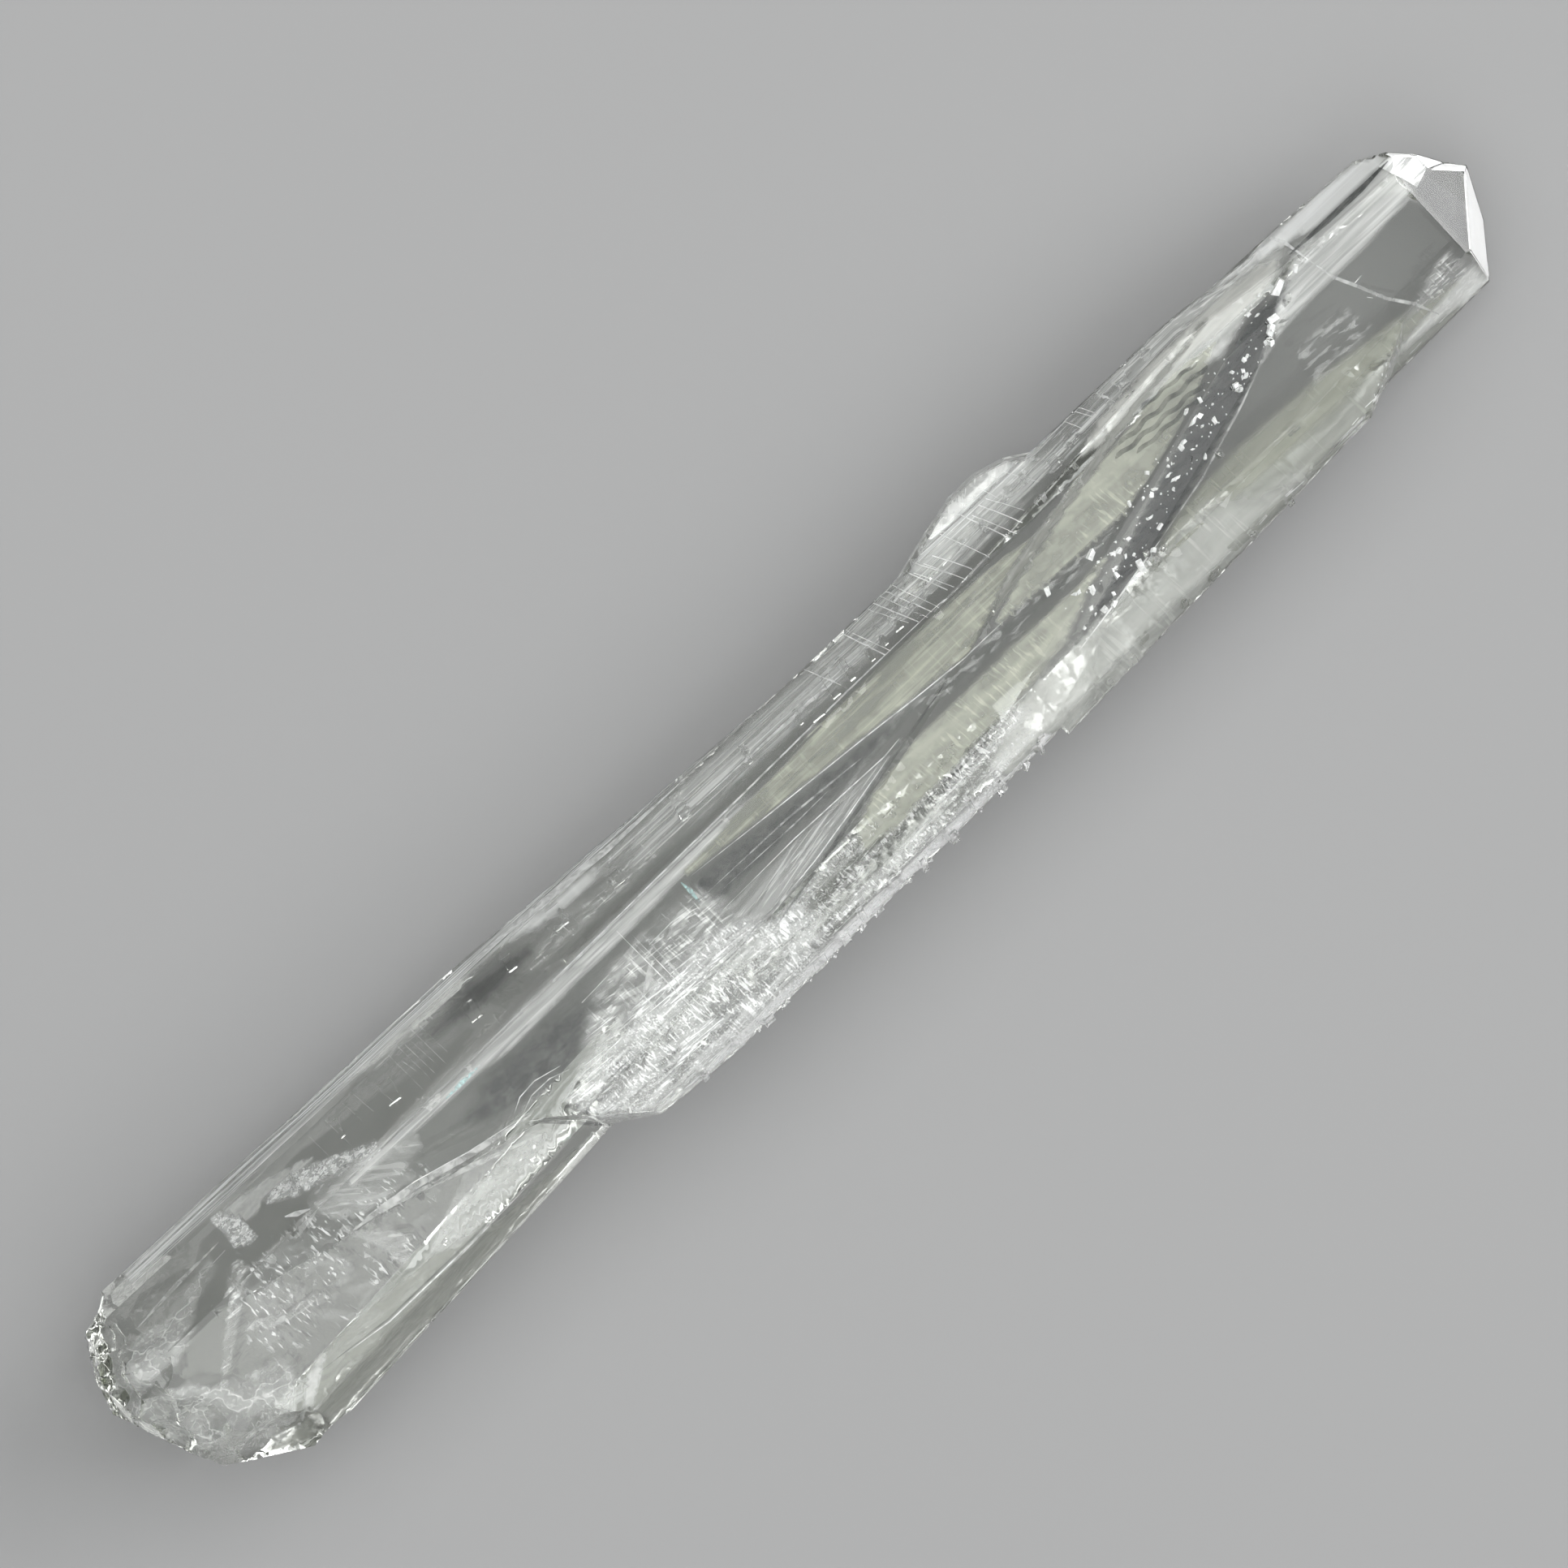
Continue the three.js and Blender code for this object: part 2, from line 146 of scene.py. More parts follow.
def diced_mesh(low, high):
    """The solid's faces cut into small cells, finer along the crystal than across it."""
    base = flat_faced()
    whole = bmesh.new()
    scratch = bpy.data.meshes.new("scratch")
    ends = [low.x, *planes_between(low.x, high.x, CHUNK_LENGTH), high.x]
    for start, end in zip(ends, ends[1:]):
        chunk = base.copy()
        if start > low.x:
            cut(chunk, 0, start, keep_below=False)
        if end < high.x:
            cut(chunk, 0, end, keep_above=False)
        for axis, step in ((1, CELL_ACROSS), (2, CELL_ACROSS), (0, CELL_ALONG)):
            first, last = (start, end) if axis == 0 else (low[axis], high[axis])
            for place in planes_between(first, last, step):
                cut(chunk, axis, place)
        chunk.to_mesh(scratch)
        whole.from_mesh(scratch)
        chunk.free()
    base.free()
    bpy.data.meshes.remove(scratch)
    bmesh.ops.remove_doubles(whole, verts=whole.verts, dist=WELD)
    bmesh.ops.triangulate(whole, faces=whole.faces[:])
    return whole


# -------- relief of the crystal's surface

RIDGE_ANGLE = math.radians(4)
FRACTURE_RIDGE_ANGLE = math.radians(28)
FRACTURE_END = -80 * MM
SHARP_EDGE_ANGLE = math.radians(25)


def mark_ridges(bm):
    """Keeps crystal ridges crisp, and the facets of conchoidal hollows smooth."""
    for face in bm.faces:
        face.smooth = True
    for edge in bm.edges:
        in_fracture = edge.verts[0].co.x < FRACTURE_END
        limit = FRACTURE_RIDGE_ANGLE if in_fracture else RIDGE_ANGLE
        edge.smooth = edge.calc_face_angle(0) < limit


# Where a normal's share along an axis starts and ends its change to another family of faces.
PRISM_TO_END = (0.2, 0.45)
SIDE_TO_REST = (0.9, 0.99)
SIDE_TO_TOP = (0.75, 0.92)
# Where the root's roughness ends, on its broken faces and on the prism faces beside them.
BREAK_FADE = (-90, -84)
PRISM_BREAK_FADE = (-93, -88)


def face_families(places, normals):
    """How far each point belongs to the broken root, the rest face, the top and the sides."""
    x = places[:, 0] / MM
    prism = 1 - ramp(np.abs(normals[:, 0]), *PRISM_TO_END)
    root = (1 - ramp(x, *BREAK_FADE)) * (1 - prism) + (1 - ramp(x, *PRISM_BREAK_FADE)) * prism
    rest = ramp(-normals[:, 2], *SIDE_TO_REST)
    top = ramp(normals[:, 2], *SIDE_TO_TOP) * prism
    side = prism * (1 - top) * (1 - rest)
    return np.clip(root, 0, 1), rest, top, side


# The silvery etched zone, in millimetres: where it starts and fades along the crystal, how much
# is gone after that, its upper border as (x, y), and how that border fades.
ETCH_START = (-38, -33)
ETCH_FADE = (40, 60)
ETCH_LOSS = 0.8
ETCH_BORDER = ((-36, -3.3), (-12, -6.8), (10, -7.8), (40, -8.8))
ETCH_BORDER_FADE = (-2, 0.5)


def etched_zone(places):
    """1 on the etched lower right side, fading to 0 beyond it."""
    x, y = places[:, 0] / MM, places[:, 1] / MM
    along = ramp(x, *ETCH_START) * (1 - ETCH_LOSS * ramp(x, *ETCH_FADE))
    upper = np.interp(x, *zip(*ETCH_BORDER))
    return along * (1 - ramp(y, upper + ETCH_BORDER_FADE[0], upper + ETCH_BORDER_FADE[1]))


# How deep each kind of relief goes, in millimetres.
STRIATION_DEPTH = 0.05
ETCHED_STEP_DEPTH = 0.09
ETCHED_GRAIN_DEPTH = 0.05
TOP_GRAIN_DEPTH = 0.004
ROOT_RIPPLE_DEPTH = 0.22
ROOT_GRAIN_DEPTH = 0.08
EDGE_WEAR_DEPTH = 0.008
EDGE_NICK_DEPTH = 0.2
# How fine each kind is, in cells per millimetre: along the crystal and around it, with a last
# share that keeps the faces apart, or the same every way.
FINE_CELLS = (2.6, 0.22, 1)
COARSE_CELLS = (0.9, 0.3, 1)
PATCH_CELLS = (0.09, 0.2, 1)
STEP_CELLS = (1.4, 0.5, 1)
RIPPLE_CELLS = 0.8
GRAIN_CELLS = 2.2
NICK_CELLS = 1.9
NICK_PATCH_CELLS = 0.35
STEP_LEVELS = 4
# Where the striated patches and the nicks start and are full, in their noise.
PATCH_RISE = (0.4, 0.75)
NICK_RISE = (0.42, 0.7)
CROSS_SKEW = 0.13
FLAT_SHARE = 0.7
FACES_PER_TURN = 3


def relief(places, normals, sharp):
    """How far each point goes in below the flat faces, in metres."""
    root, rest, top, side = face_families(places, normals)
    x, y, z = places.T / MM
    around = np.where(np.abs(normals[:, 2]) > FLAT_SHARE, y, z)
    skewed = x + CROSS_SKEW * around
    facing = np.round(np.arctan2(normals[:, 2], normals[:, 1]) * FACES_PER_TURN)
    where = np.stack([skewed, around, facing], 1)
    fine = value_noise(where * FINE_CELLS, 11)
    coarse = value_noise(where * COARSE_CELLS, 12)
    patches = value_noise(where * PATCH_CELLS, 13)
    steps = np.round(value_noise(where * STEP_CELLS, 14) * STEP_LEVELS) / STEP_LEVELS
    striations = ramp(patches, *PATCH_RISE) * STRIATION_DEPTH * (fine**2 + coarse)
    etched = etched_zone(places) * side
    hatch = ETCHED_STEP_DEPTH * steps + ETCHED_GRAIN_DEPTH * fine
    depth = side * striations * (1 - etched) + etched * hatch
    depth += top * TOP_GRAIN_DEPTH * fine
    ripples = value_noise(places / MM * RIPPLE_CELLS, 15)
    grain = value_noise(places / MM * GRAIN_CELLS, 16)
    depth += root * (ROOT_RIPPLE_DEPTH * ripples + ROOT_GRAIN_DEPTH * grain)
    nicks = value_noise(places / MM * NICK_CELLS, 17) * value_noise(places / MM * NICK_PATCH_CELLS, 18)
    depth += sharp * (EDGE_WEAR_DEPTH + EDGE_NICK_DEPTH * ramp(nicks, *NICK_RISE))
    return depth * (1 - rest) * MM


def mesh_with(name, bm, attribute, values):
    """The bmesh's mesh, with one value for each of its points."""
    mesh = bpy.data.meshes.new(name)
    bm.to_mesh(mesh)
    bm.free()
    mesh.attributes.new(attribute, "FLOAT", "POINT").data.foreach_set("value", values)
    return mesh


def crystal_mesh():
    """The CAD solid's mesh, diced and drawn in by the relief, with its etching as "frost"."""
    bm = diced_mesh(cad_low, cad_high)
    bm.normal_update()
    mark_ridges(bm)
    places = np.array([vert.co for vert in bm.verts])
    normals = np.array([vert.normal for vert in bm.verts])
    sharp = np.array([
        any(edge.calc_face_angle(0) > SHARP_EDGE_ANGLE for edge in vert.link_edges)
        for vert in bm.verts
    ], float)
    moved = places - normals * relief(places, normals, sharp)[:, None]
    for vert, place in zip(bm.verts, moved):
        vert.co = place
    *_, side = face_families(places, normals)
    return mesh_with("crystal", bm, "frost", etched_zone(places) * side)


# -------- the crystal's own material


def set_inputs(tree, node, inputs):
    """Sets constants on a node's sockets, and links the sockets that are given another one."""
    for name, value in inputs.items():
        if isinstance(value, bpy.types.NodeSocket):
            tree.links.new(value, node.inputs[name])
        else:
            node.inputs[name].default_value = value


def add_node(tree, kind, inputs, output=0, **settings):
    """Adds a shader node with its settings and inputs, and returns one of its outputs."""
    node = tree.nodes.new("ShaderNode" + kind)
    for name, value in settings.items():
        setattr(node, name, value)
    set_inputs(tree, node, inputs)
    return node.outputs[output]


def new_material(name):
    """A new material, its node tree and its main shader."""
    material = bpy.data.materials.new(name)
    material.use_nodes = True
    return material, material.node_tree, material.node_tree.nodes["Principled BSDF"]


QUARTZ_INDEX = 1.544
QUARTZ_TINT = (0.86, 0.88, 0.82, 1)
QUARTZ_ABSORPTION = 25
SMOOTH_FACE = 0.02
ETCHED_FACE = 0.12


def quartz_material():
    """Clear quartz: see-through, faintly tinted by its depth, and duller where it is etched."""
    material, tree, shader = new_material("clear_quartz")
    frost = add_node(tree, "Attribute", {}, "Fac", attribute_name="frost")
    roughness = add_node(tree, "MapRange", {
        "Value": frost, "To Min": SMOOTH_FACE, "To Max": ETCHED_FACE})
    absorb = add_node(tree, "VolumeAbsorption", {
        "Color": QUARTZ_TINT, "Density": QUARTZ_ABSORPTION})
    set_inputs(tree, shader, {
        "Base Color": (1, 1, 1, 1),
        "IOR": QUARTZ_INDEX,
        "Transmission Weight": 1,
        "Roughness": roughness,
    })
    set_inputs(tree, tree.nodes["Material Output"], {"Volume": absorb})
    return material


def shown(name, mesh, material):
    """Puts a mesh in the scene as a named piece of the crystal."""
    piece = bpy.data.objects.new(name, mesh)
    bpy.context.scene.collection.objects.link(piece)
    mesh.materials.clear()
    mesh.materials.append(material)
    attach(piece, BODY)
    return piece


crystal = shown("crystal", crystal_mesh(), quartz_material())
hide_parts(NODE)

# -------- veils inside the crystal

# A veil is a thin sheet close under the surface. Some stand for the crystal's own milky
# inclusions, cracks and etching; others are painted light and shade: olive and white sheets as
# painted reflections, and near-black sheets as painted shade where the clear crystal looks dark.
# A veil's outline is in plan, in millimetres, and it follows the terraces above it at an even
# depth. Each veil lies a gap below the one before it, and the lines lie above them all.
VEIL_DEPTH = 0.45 * MM
VEIL_CELL = 0.5 * MM
VEIL_GAP = 0.03 * MM
LINE_DEPTH = 0.28 * MM
LINE_GAP = 0.003 * MM
LEAST_DEPTH = 0.22 * MM
# Rays start this high, and a depth grows with the slope only up to the steepest one.
HIGH_ABOVE = 0.1
STEEPEST = 0.4
# The two noises that a veil's border wanders with: cells per millimetre, and shares.
BORDER_CELLS = ((0.35, 0.35, 1), (1.6, 0.5, 1))
BORDER_SHARES = (0.6, 0.4)


# The solid's surface, to be asked for the place above or nearest to a point.
SURFACE = BVHTree.FromPolygons(
    [vert.co for vert in SOLID.vertices], [face.vertices for face in SOLID.polygons])


def height_under(x, y, depth=0):
    """The height of a place the given depth under the top surface, square to it."""
    hit, normal, _, _ = SURFACE.ray_cast(Vector((x, y, HIGH_ABOVE)), Vector((0, 0, -1)))
    return None if hit is None else hit.z - depth / max(normal.z, STEEPEST)


def held_inside(place, least):
    """The place itself, or the nearest one that lies deep enough under the surface."""
    spot, normal, _, _ = SURFACE.find_nearest(place)
    deep_enough = (spot - place).dot(normal) >= least
    return place if deep_enough else spot - normal * least


def distance_to_outline(places, outline):
    """How far each place in plan is from the nearest side of the outline."""
    nearest = np.full(len(places), np.inf)
    for start, end in zip(outline, np.roll(outline, -1, axis=0)):
        side = end - start
        share = np.clip((places - start) @ side / (side @ side), 0, 1)
        nearest = np.minimum(nearest, np.linalg.norm(places - start - share[:, None] * side, axis=1))
    return nearest


def sheet_mesh(name, outline, depth, feather=0, ragged=0):
    """A gridded sheet under the top surface; its "cover" fades out towards the outline."""
    border = np.array(outline) * MM
    bm = bmesh.new()
    bm.faces.new([bm.verts.new((x, y, 0)) for x, y in border])
    low, high = border.min(0), border.max(0)
    for axis in (0, 1):
        for place in planes_between(low[axis], high[axis], VEIL_CELL):
            cut(bm, axis, place)
    bmesh.ops.triangulate(bm, faces=bm.faces[:])
    plan = {vert: vert.co.xy for vert in bm.verts}
    outside = []
    for vert in bm.verts:
        height = height_under(vert.co.x, vert.co.y, depth)
        if height is None:
            outside.append(vert)
        else:
            vert.co = held_inside(Vector((vert.co.x, vert.co.y, height)), min(depth, LEAST_DEPTH))
    bmesh.ops.delete(bm, geom=outside, context="VERTS")
    places = np.array([plan[vert] for vert in bm.verts])
    shares = np.ones(len(places))
    if feather:
        flat = np.column_stack([places / MM, np.zeros(len(places))])
        wander = sum(
            share * value_noise(flat * cells, seed)
            for share, cells, seed in zip(BORDER_SHARES, BORDER_CELLS, (31, 32))
        )
        inside = distance_to_outline(places, border) - ragged * wander * MM
        shares = ramp(inside, 0, feather * MM)
    mesh = mesh_with(name, bm, "cover", shares)
    for polygon in mesh.polygons:
        polygon.use_smooth = True
    return mesh


LINE_END_SHARE = 0.2


def line_outline(points, width):
    """The outline of a thin line of even width through the points, narrow at both ends."""
    path = np.array(points, float)
    along = np.gradient(path, axis=0)
    along /= np.linalg.norm(along, axis=1)[:, None]
    side = np.stack([-along[:, 1], along[:, 0]], 1) * width / 2
    side[[0, -1]] *= LINE_END_SHARE
    return [*(path + side), *(path - side)[::-1]]


def lines_mesh(name, lines, depth):
    """Thin lines joined in one mesh, each a little deeper than the one before it."""
    joined = bmesh.new()
    for i, (width, path) in enumerate(lines):
        part = sheet_mesh("line", line_outline(path, width), depth + i * LINE_GAP)
        joined.from_mesh(part)
        bpy.data.meshes.remove(part)
    mesh = bpy.data.meshes.new(name)
    joined.to_mesh(mesh)
    joined.free()
    return mesh


# -------- materials of the veils

BEND_CELLS = 1.3


def bent_place(tree, place, warp):
    """The place moved by soft noise, which bends the straight edges of shards."""
    bend = add_node(tree, "TexNoise", {"Vector": place, "Scale": BEND_CELLS}, "Color")
    inputs = {0: bend, 1: (warp, warp, warp), 2: place}
    return add_node(tree, "VectorMath", inputs, operation="MULTIPLY_ADD")


def pattern(tree, cells, low, high, turn=0, kind="noise", warp=0.5):
    """A pattern from 0 to 1 with the given number of cells per millimetre, along x, y and z.

    Kinds: soft noise, shards of one even value each, and the edges between such shards.
    """
    place = add_node(tree, "TexCoord", {}, "Object")
    turned = add_node(tree, "Mapping", {"Vector": place, "Rotation": (0, 0, math.radians(turn))})
    where = add_node(tree, "Mapping", {"Vector": turned, "Scale": [count / MM for count in cells]})
    if kind == "noise":
        inputs = {"Vector": where, "Scale": 1, "Detail": 2, "Distortion": warp}
        value = add_node(tree, "TexNoise", inputs)
    else:
        inputs = {"Vector": bent_place(tree, where, warp), "Scale": 1}
        output, feature = ("Color", "F1") if kind == "shards" else ("Distance", "DISTANCE_TO_EDGE")
        value = add_node(tree, "TexVoronoi", inputs, output, feature=feature)
    return add_node(tree, "MapRange", {"Value": value, "From Min": low, "From Max": high})


def veil_material(name, colour, base, layers, roughness=0.6):
    """See-through where its alpha is low. Each layer adds a weight times all its patterns."""
    material, tree, shader = new_material(name)
    total = base
    for weight, *patterns in layers:
        share = weight
        for settings in patterns:
            inputs = {0: pattern(tree, **settings), 1: share}
            share = add_node(tree, "Math", inputs, operation="MULTIPLY")
        total = add_node(tree, "Math", {0: share, 1: total}, operation="ADD")
    cover = add_node(tree, "Attribute", {}, "Fac", attribute_name="cover")
    alpha = add_node(tree, "Math", {0: total, 1: cover}, operation="MULTIPLY")
    clamped = add_node(tree, "Clamp", {"Value": alpha})
    set_inputs(tree, shader, {
        "Base Color": (*colour, 1), "Roughness": roughness, "Alpha": clamped})
    return material


def noise(cells, low=0.35, high=0.65, **more):
    """A pattern's settings: 0 where the noise is at its low value, and 1 at its high one."""
    return dict(cells=cells, low=low, high=high, **more)


# Colours of the veils, from the olive of painted reflections on the growth faces to the near-black of
# painted shade in the dark clear depths.
OLIVE = (0.64, 0.66, 0.55)
DARK_OLIVE = (0.44, 0.455, 0.37)
PALE = (0.86, 0.87, 0.85)
WHITE = (0.95, 0.96, 0.95)
PURE_WHITE = (1, 1, 1)
SOFT_WHITE = (0.52, 0.53, 0.5)
# Grey for painted shade, over faces that the lamps light strongly.
SHADE_GREY = (0.3, 0.31, 0.275)
# Painted shade along the step's riser.
RISER_SHADE = (0.27, 0.275, 0.25)
SLATE = (0.64, 0.645, 0.61)
TEAL = (0.55, 0.85, 0.84)
SHADE = (0.02, 0.024, 0.024)

# The olive and grey growth faces. The olive is a painted reflection of the lower faces seen through the
# crystal.
olive_veil = veil_material("olive_veil", OLIVE, 0.34, [
    (0.2, noise((0.05, 0.45, 0.3), 0.4, 0.6)),
    (0.12, noise((0.5, 0.7, 0.5), 0.42, 0.62, turn=8, warp=0.3)),
    (0.3, noise((2.8, 0.4, 0.2), 0.54, 0.64, turn=-7), noise((0.15, 0.3, 0.2), 0.45, 0.6)),
])
leaf_stuff = veil_material("leaf_stuff", DARK_OLIVE, 0.28, [
    (0.3, noise((0.04, 0.5, 0.3), 0.42, 0.58, warp=0.3)),
    (0.25, noise((0.08, 2.4, 1.5), 0.48, 0.62, warp=0.2)),
    (0.15, noise((0.4, 0.7, 0.5), 0.45, 0.6, turn=12, warp=0.4)),
    (0.2, noise((2.4, 0.15, 0.2), 0.55, 0.66), noise((0.12, 0.3, 0.2), 0.46, 0.6)),
])
side_olive_stuff = veil_material("side_olive_stuff", DARK_OLIVE, 0.4, [
    (0.15, noise((0.08, 0.4, 0.3))),
    (0.35, noise((1.7, 0.1, 0.1), 0.58, 0.68, turn=-4), noise((0.12, 0.2, 0.2), 0.42, 0.6)),
])
slate_stuff = veil_material("slate_stuff", SLATE, 0.68, [
    (0.2, noise((0.06, 1.2, 1), 0.42, 0.6, warp=0.6)),
])
# The striped and dull prism faces. The blunt face's white is a painted reflection, and the dull greys are
# painted shade, over faces that the lamps light strongly and along the step's riser.
blunt_reflection_stuff = veil_material("blunt_reflection_stuff", WHITE, 0.3, [
    (0.7, noise((0.05, 2, 0.2), 0.46, 0.54, warp=0)),
])
side_low_shade_stuff = veil_material("side_low_shade_stuff", SHADE_GREY, 0.6, [
    (0.2, noise((0.08, 0.4, 0.3))),
    (0.3, noise((1.7, 0.1, 0.1), 0.58, 0.68, turn=-4)),
])
side_pale_stuff = veil_material("side_pale_stuff", SOFT_WHITE, 0.55, [
    (0.2, noise((0.1, 0.4, 0.3), 0.4, 0.6, warp=1)),
    (0.3, noise((1.7, 0.12, 0.1), 0.56, 0.66, turn=-4)),
])
grey_shade_veil = veil_material("grey_shade_veil", SHADE_GREY, 0.62, [
    (0.3, noise((0.25, 0.5, 0.5), 0.4, 0.6, warp=1.5)),
])
riser_shade_stuff = veil_material("riser_shade_stuff", RISER_SHADE, 0.62, [
    (0.3, noise((0.15, 1.2, 0.8), 0.4, 0.6, turn=-12, warp=1)),
])
# The pale planes, bands and clouds.
ridge_stuff = veil_material("ridge_stuff", PALE, 0.32, [
    (0.2, noise((0.05, 0.9, 0.9), 0.42, 0.6, warp=0.2)),
    (0.2, noise((0.08, 2.6, 2.6), 0.5, 0.62, warp=0.2)),
])
pale_veil = veil_material("pale_veil", PALE, 0.36, [
    (0.25, noise((0.05, 0.6, 0.3))),
    (0.12, noise((1.2, 1.6, 1.6))),
])
thin_veil = veil_material("thin_veil", PALE, 0.14, [
    (0.12, noise((0.1, 0.5, 0.3))),
    (0.1, noise((1.2, 1.8, 1.6))),
])
wedge_stuff = veil_material("wedge_stuff", PALE, 0.1, [
    (0.2, noise((0.03, 1.1, 1), 0.45, 0.6, turn=-10, warp=0.2)),
    (0.3, noise((0.05, 3.6, 3), 0.56, 0.64, turn=-12, warp=0.2)),
])
milky_stuff = veil_material("milky_stuff", SOFT_WHITE, 0.72, [
    (0.25, noise((0.6, 0.5, 0.6), 0.38, 0.62)),
    (0.22, noise((2.2, 1.2, 1.8), 0.54, 0.64, turn=30, warp=0.3)),
])
cloud_stuff = veil_material("cloud_stuff", PALE, 0.08, [
    (0.35, noise((0.2, 0.6, 0.5), 0.42, 0.62, warp=1.5)),
    (0.5, noise((0.35, 3, 1.1), 0.54, 0.62, turn=6, warp=1.2), noise((0.3, 0.5, 0.4), 0.4, 0.55)),
    (0.4, noise((3.4, 0.3, 0.2), 0.55, 0.65, turn=-2), noise((0.4, 0.3, 0.3), 0.42, 0.58)),
])
streak_stuff = veil_material("streak_stuff", WHITE, 0.1, [
    (0.45, noise((0.03, 1.4, 1.4), 0.44, 0.58, warp=0)),
    (0.8, noise((0.04, 3.4, 3.4), 0.5, 0.6, warp=0)),
])
face_stuff = veil_material("face_stuff", PALE, 0.15, [
    (0.35, noise((0.04, 0.9, 0.9), 0.44, 0.6, warp=0.2)),
    (0.45, noise((0.07, 2.6, 2.6), 0.52, 0.62, warp=0.2)),
])
tip_upper_stuff = veil_material("tip_upper_stuff", WHITE, 0.82, [
    (0.18, noise((0.03, 0.9, 0.9), 0.42, 0.6, warp=0)),
])
tip_lower_stuff = veil_material("tip_lower_stuff", PALE, 0.34, [
    (0.34, noise((0.03, 0.9, 0.9), 0.42, 0.6, warp=0)),
    (0.2, noise((0.05, 2.4, 2.4), 0.45, 0.62, warp=0)),
])
tip_side_stuff = veil_material("tip_side_stuff", PALE, 0.66, [
    (0.25, noise((0.1, 0.5, 0.3))),
    (0.15, noise((1.2, 1.4, 1.4), 0.5, 0.6, warp=1)),
])
plane_stuff = veil_material("plane_stuff", PALE, 0.16, [
    (0.15, noise((0.25, 0.7, 0.6), 0.42, 0.6, turn=35, warp=1)),
    (0.2, noise((0.12, 2, 1.6), 0.55, 0.64, turn=38, warp=0.3)),
])
lens_stuff = veil_material("lens_stuff", PALE, 0.55, [
    (0.3, noise((0.25, 1.6, 1), 0.45, 0.6, turn=35, warp=1)),
    (0.4, noise((0.3, 1.6, 1), 0.54, 0.6, turn=-50)),
])
# The silvery etching, and the cracks and pits of the root.
silver_stuff = veil_material("silver_stuff", WHITE, 0.2, [
    (0.65, noise((3.4, 0.8, 0.5), 0.54, 0.6, turn=-4), noise((0.14, 0.35, 0.3), 0.5, 0.58)),
    (0.6, noise((0.25, 3.4, 1.5), 0.54, 0.6, turn=4), noise((0.14, 0.35, 0.3), 0.5, 0.42)),
    (0.3, noise((1.7, 2.4, 1.2), 0.52, 0.6, turn=35, warp=1.6), noise((0.5, 0.4, 0.4), 0.42, 0.6)),
    (0.25, noise((0.12, 0.6, 0.5), 0.42, 0.58, warp=1.2)),
    (0.4, noise((4.6, 4.6, 4.6), 0.58, 0.66)),
], roughness=0.4)
scaly_stuff = veil_material("scaly_stuff", WHITE, 0.02, [
    (0.45, noise((3.2, 1.3, 0.8), 0.54, 0.61, turn=-10, warp=0.8), noise((0.08, 0.9, 0.8), 0.42, 0.54)),
    (0.35, noise((3.4, 3.8, 2), 0.56, 0.63, turn=30, warp=1.5), noise((0.3, 0.8, 0.8), 0.4, 0.55)),
    (0.22, noise((0.05, 1, 0.9), 0.44, 0.56, turn=-3, warp=0.5)),
    (0.3, noise((0.3, 3.6, 2), 0.56, 0.62, turn=-4), noise((0.2, 0.6, 0.5), 0.45, 0.58)),
], roughness=0.4)
margin_stuff = veil_material("margin_stuff", PURE_WHITE, 0.92, [
    (0.4, noise((0.15, 2.2, 2.2), 0.44, 0.58, turn=2, warp=0.6)),
], roughness=0.4)
crack_stuff = veil_material("crack_stuff", WHITE, 0.3, [
    (0.6, noise((1.5, 1.5, 1.5), 0.4, 1, kind="shards")),
    (0.6, noise((2.5, 2.5, 2.5), 0.5, 0.6, warp=1)),
], roughness=0.3)
shard_stuff = veil_material("shard_stuff", PALE, 0.1, [
    (0.32, noise((0.2, 0.26, 0.24), 0.2, 1, turn=25, kind="shards", warp=1.2)),
    (0.18, noise((0.6, 0.8, 0.7), 0.3, 1, turn=-20, kind="shards", warp=1)),
    (0.35, noise((0.2, 0.26, 0.24), 0.03, 0, turn=25, kind="edges", warp=1.2)),
    (0.2, noise((1.6, 1.6, 1.6), 0.55, 0.65, warp=1)),
])
pit_stuff = veil_material("pit_stuff", WHITE, 0, [
    (0.7, noise((3, 0.8, 0.6), 0.57, 0.63, turn=-3), noise((0.25, 0.3, 0.3), 0.45, 0.58)),
    (0.12, noise((0.3, 0.5, 0.4), 0.45, 0.6, turn=20)),
])
speck_stuff = veil_material("speck_stuff", PALE, 0, [
    (0.35, noise((0.5, 1.8, 1), 0.5, 0.66, turn=6, warp=0.5)),
])
# Lines, with teal painted glints; near-black sheets of painted shade; white for the point's faces, a painted
# reflection; and the grains.
bright_line = veil_material("bright_line", WHITE, 0.45, [(0.5, noise((0.8, 0.8, 0.8)))])
faint_line = veil_material("faint_line", PALE, 0.12, [(0.45, noise((0.7, 0.7, 0.7)))])
cross_stuff = veil_material("cross_stuff", WHITE, 0.6, [(0.5, noise((0.8, 0.6, 0.6)))])
teal_glint = veil_material("teal_glint", TEAL, 0.1, [(0.6, noise((2, 2, 2)))])
shade_veil = veil_material("shade_veil", SHADE, 0.62, [(0.3, noise((0.4, 1.2, 1), warp=1))])
dim_veil = veil_material("dim_veil", SHADE, 0.14, [(0.16, noise((0.1, 1, 1)))])
clear_shade = veil_material("clear_shade", SHADE, 0.55, [(0.2, noise((0.15, 0.6, 0.5), warp=1))])
soft_shade_stuff = veil_material("soft_shade_stuff", SHADE, 0.3, [(0.35, noise((0.6, 1, 1)))])
point_reflection_stuff = veil_material("point_reflection_stuff", PURE_WHITE, 0.96, [(0.04, noise((0.15, 0.6, 0.6)))])
grain_stuff = veil_material("grain_stuff", WHITE, 0.7, [(0.3, noise((2, 2, 2)))], roughness=0.3)


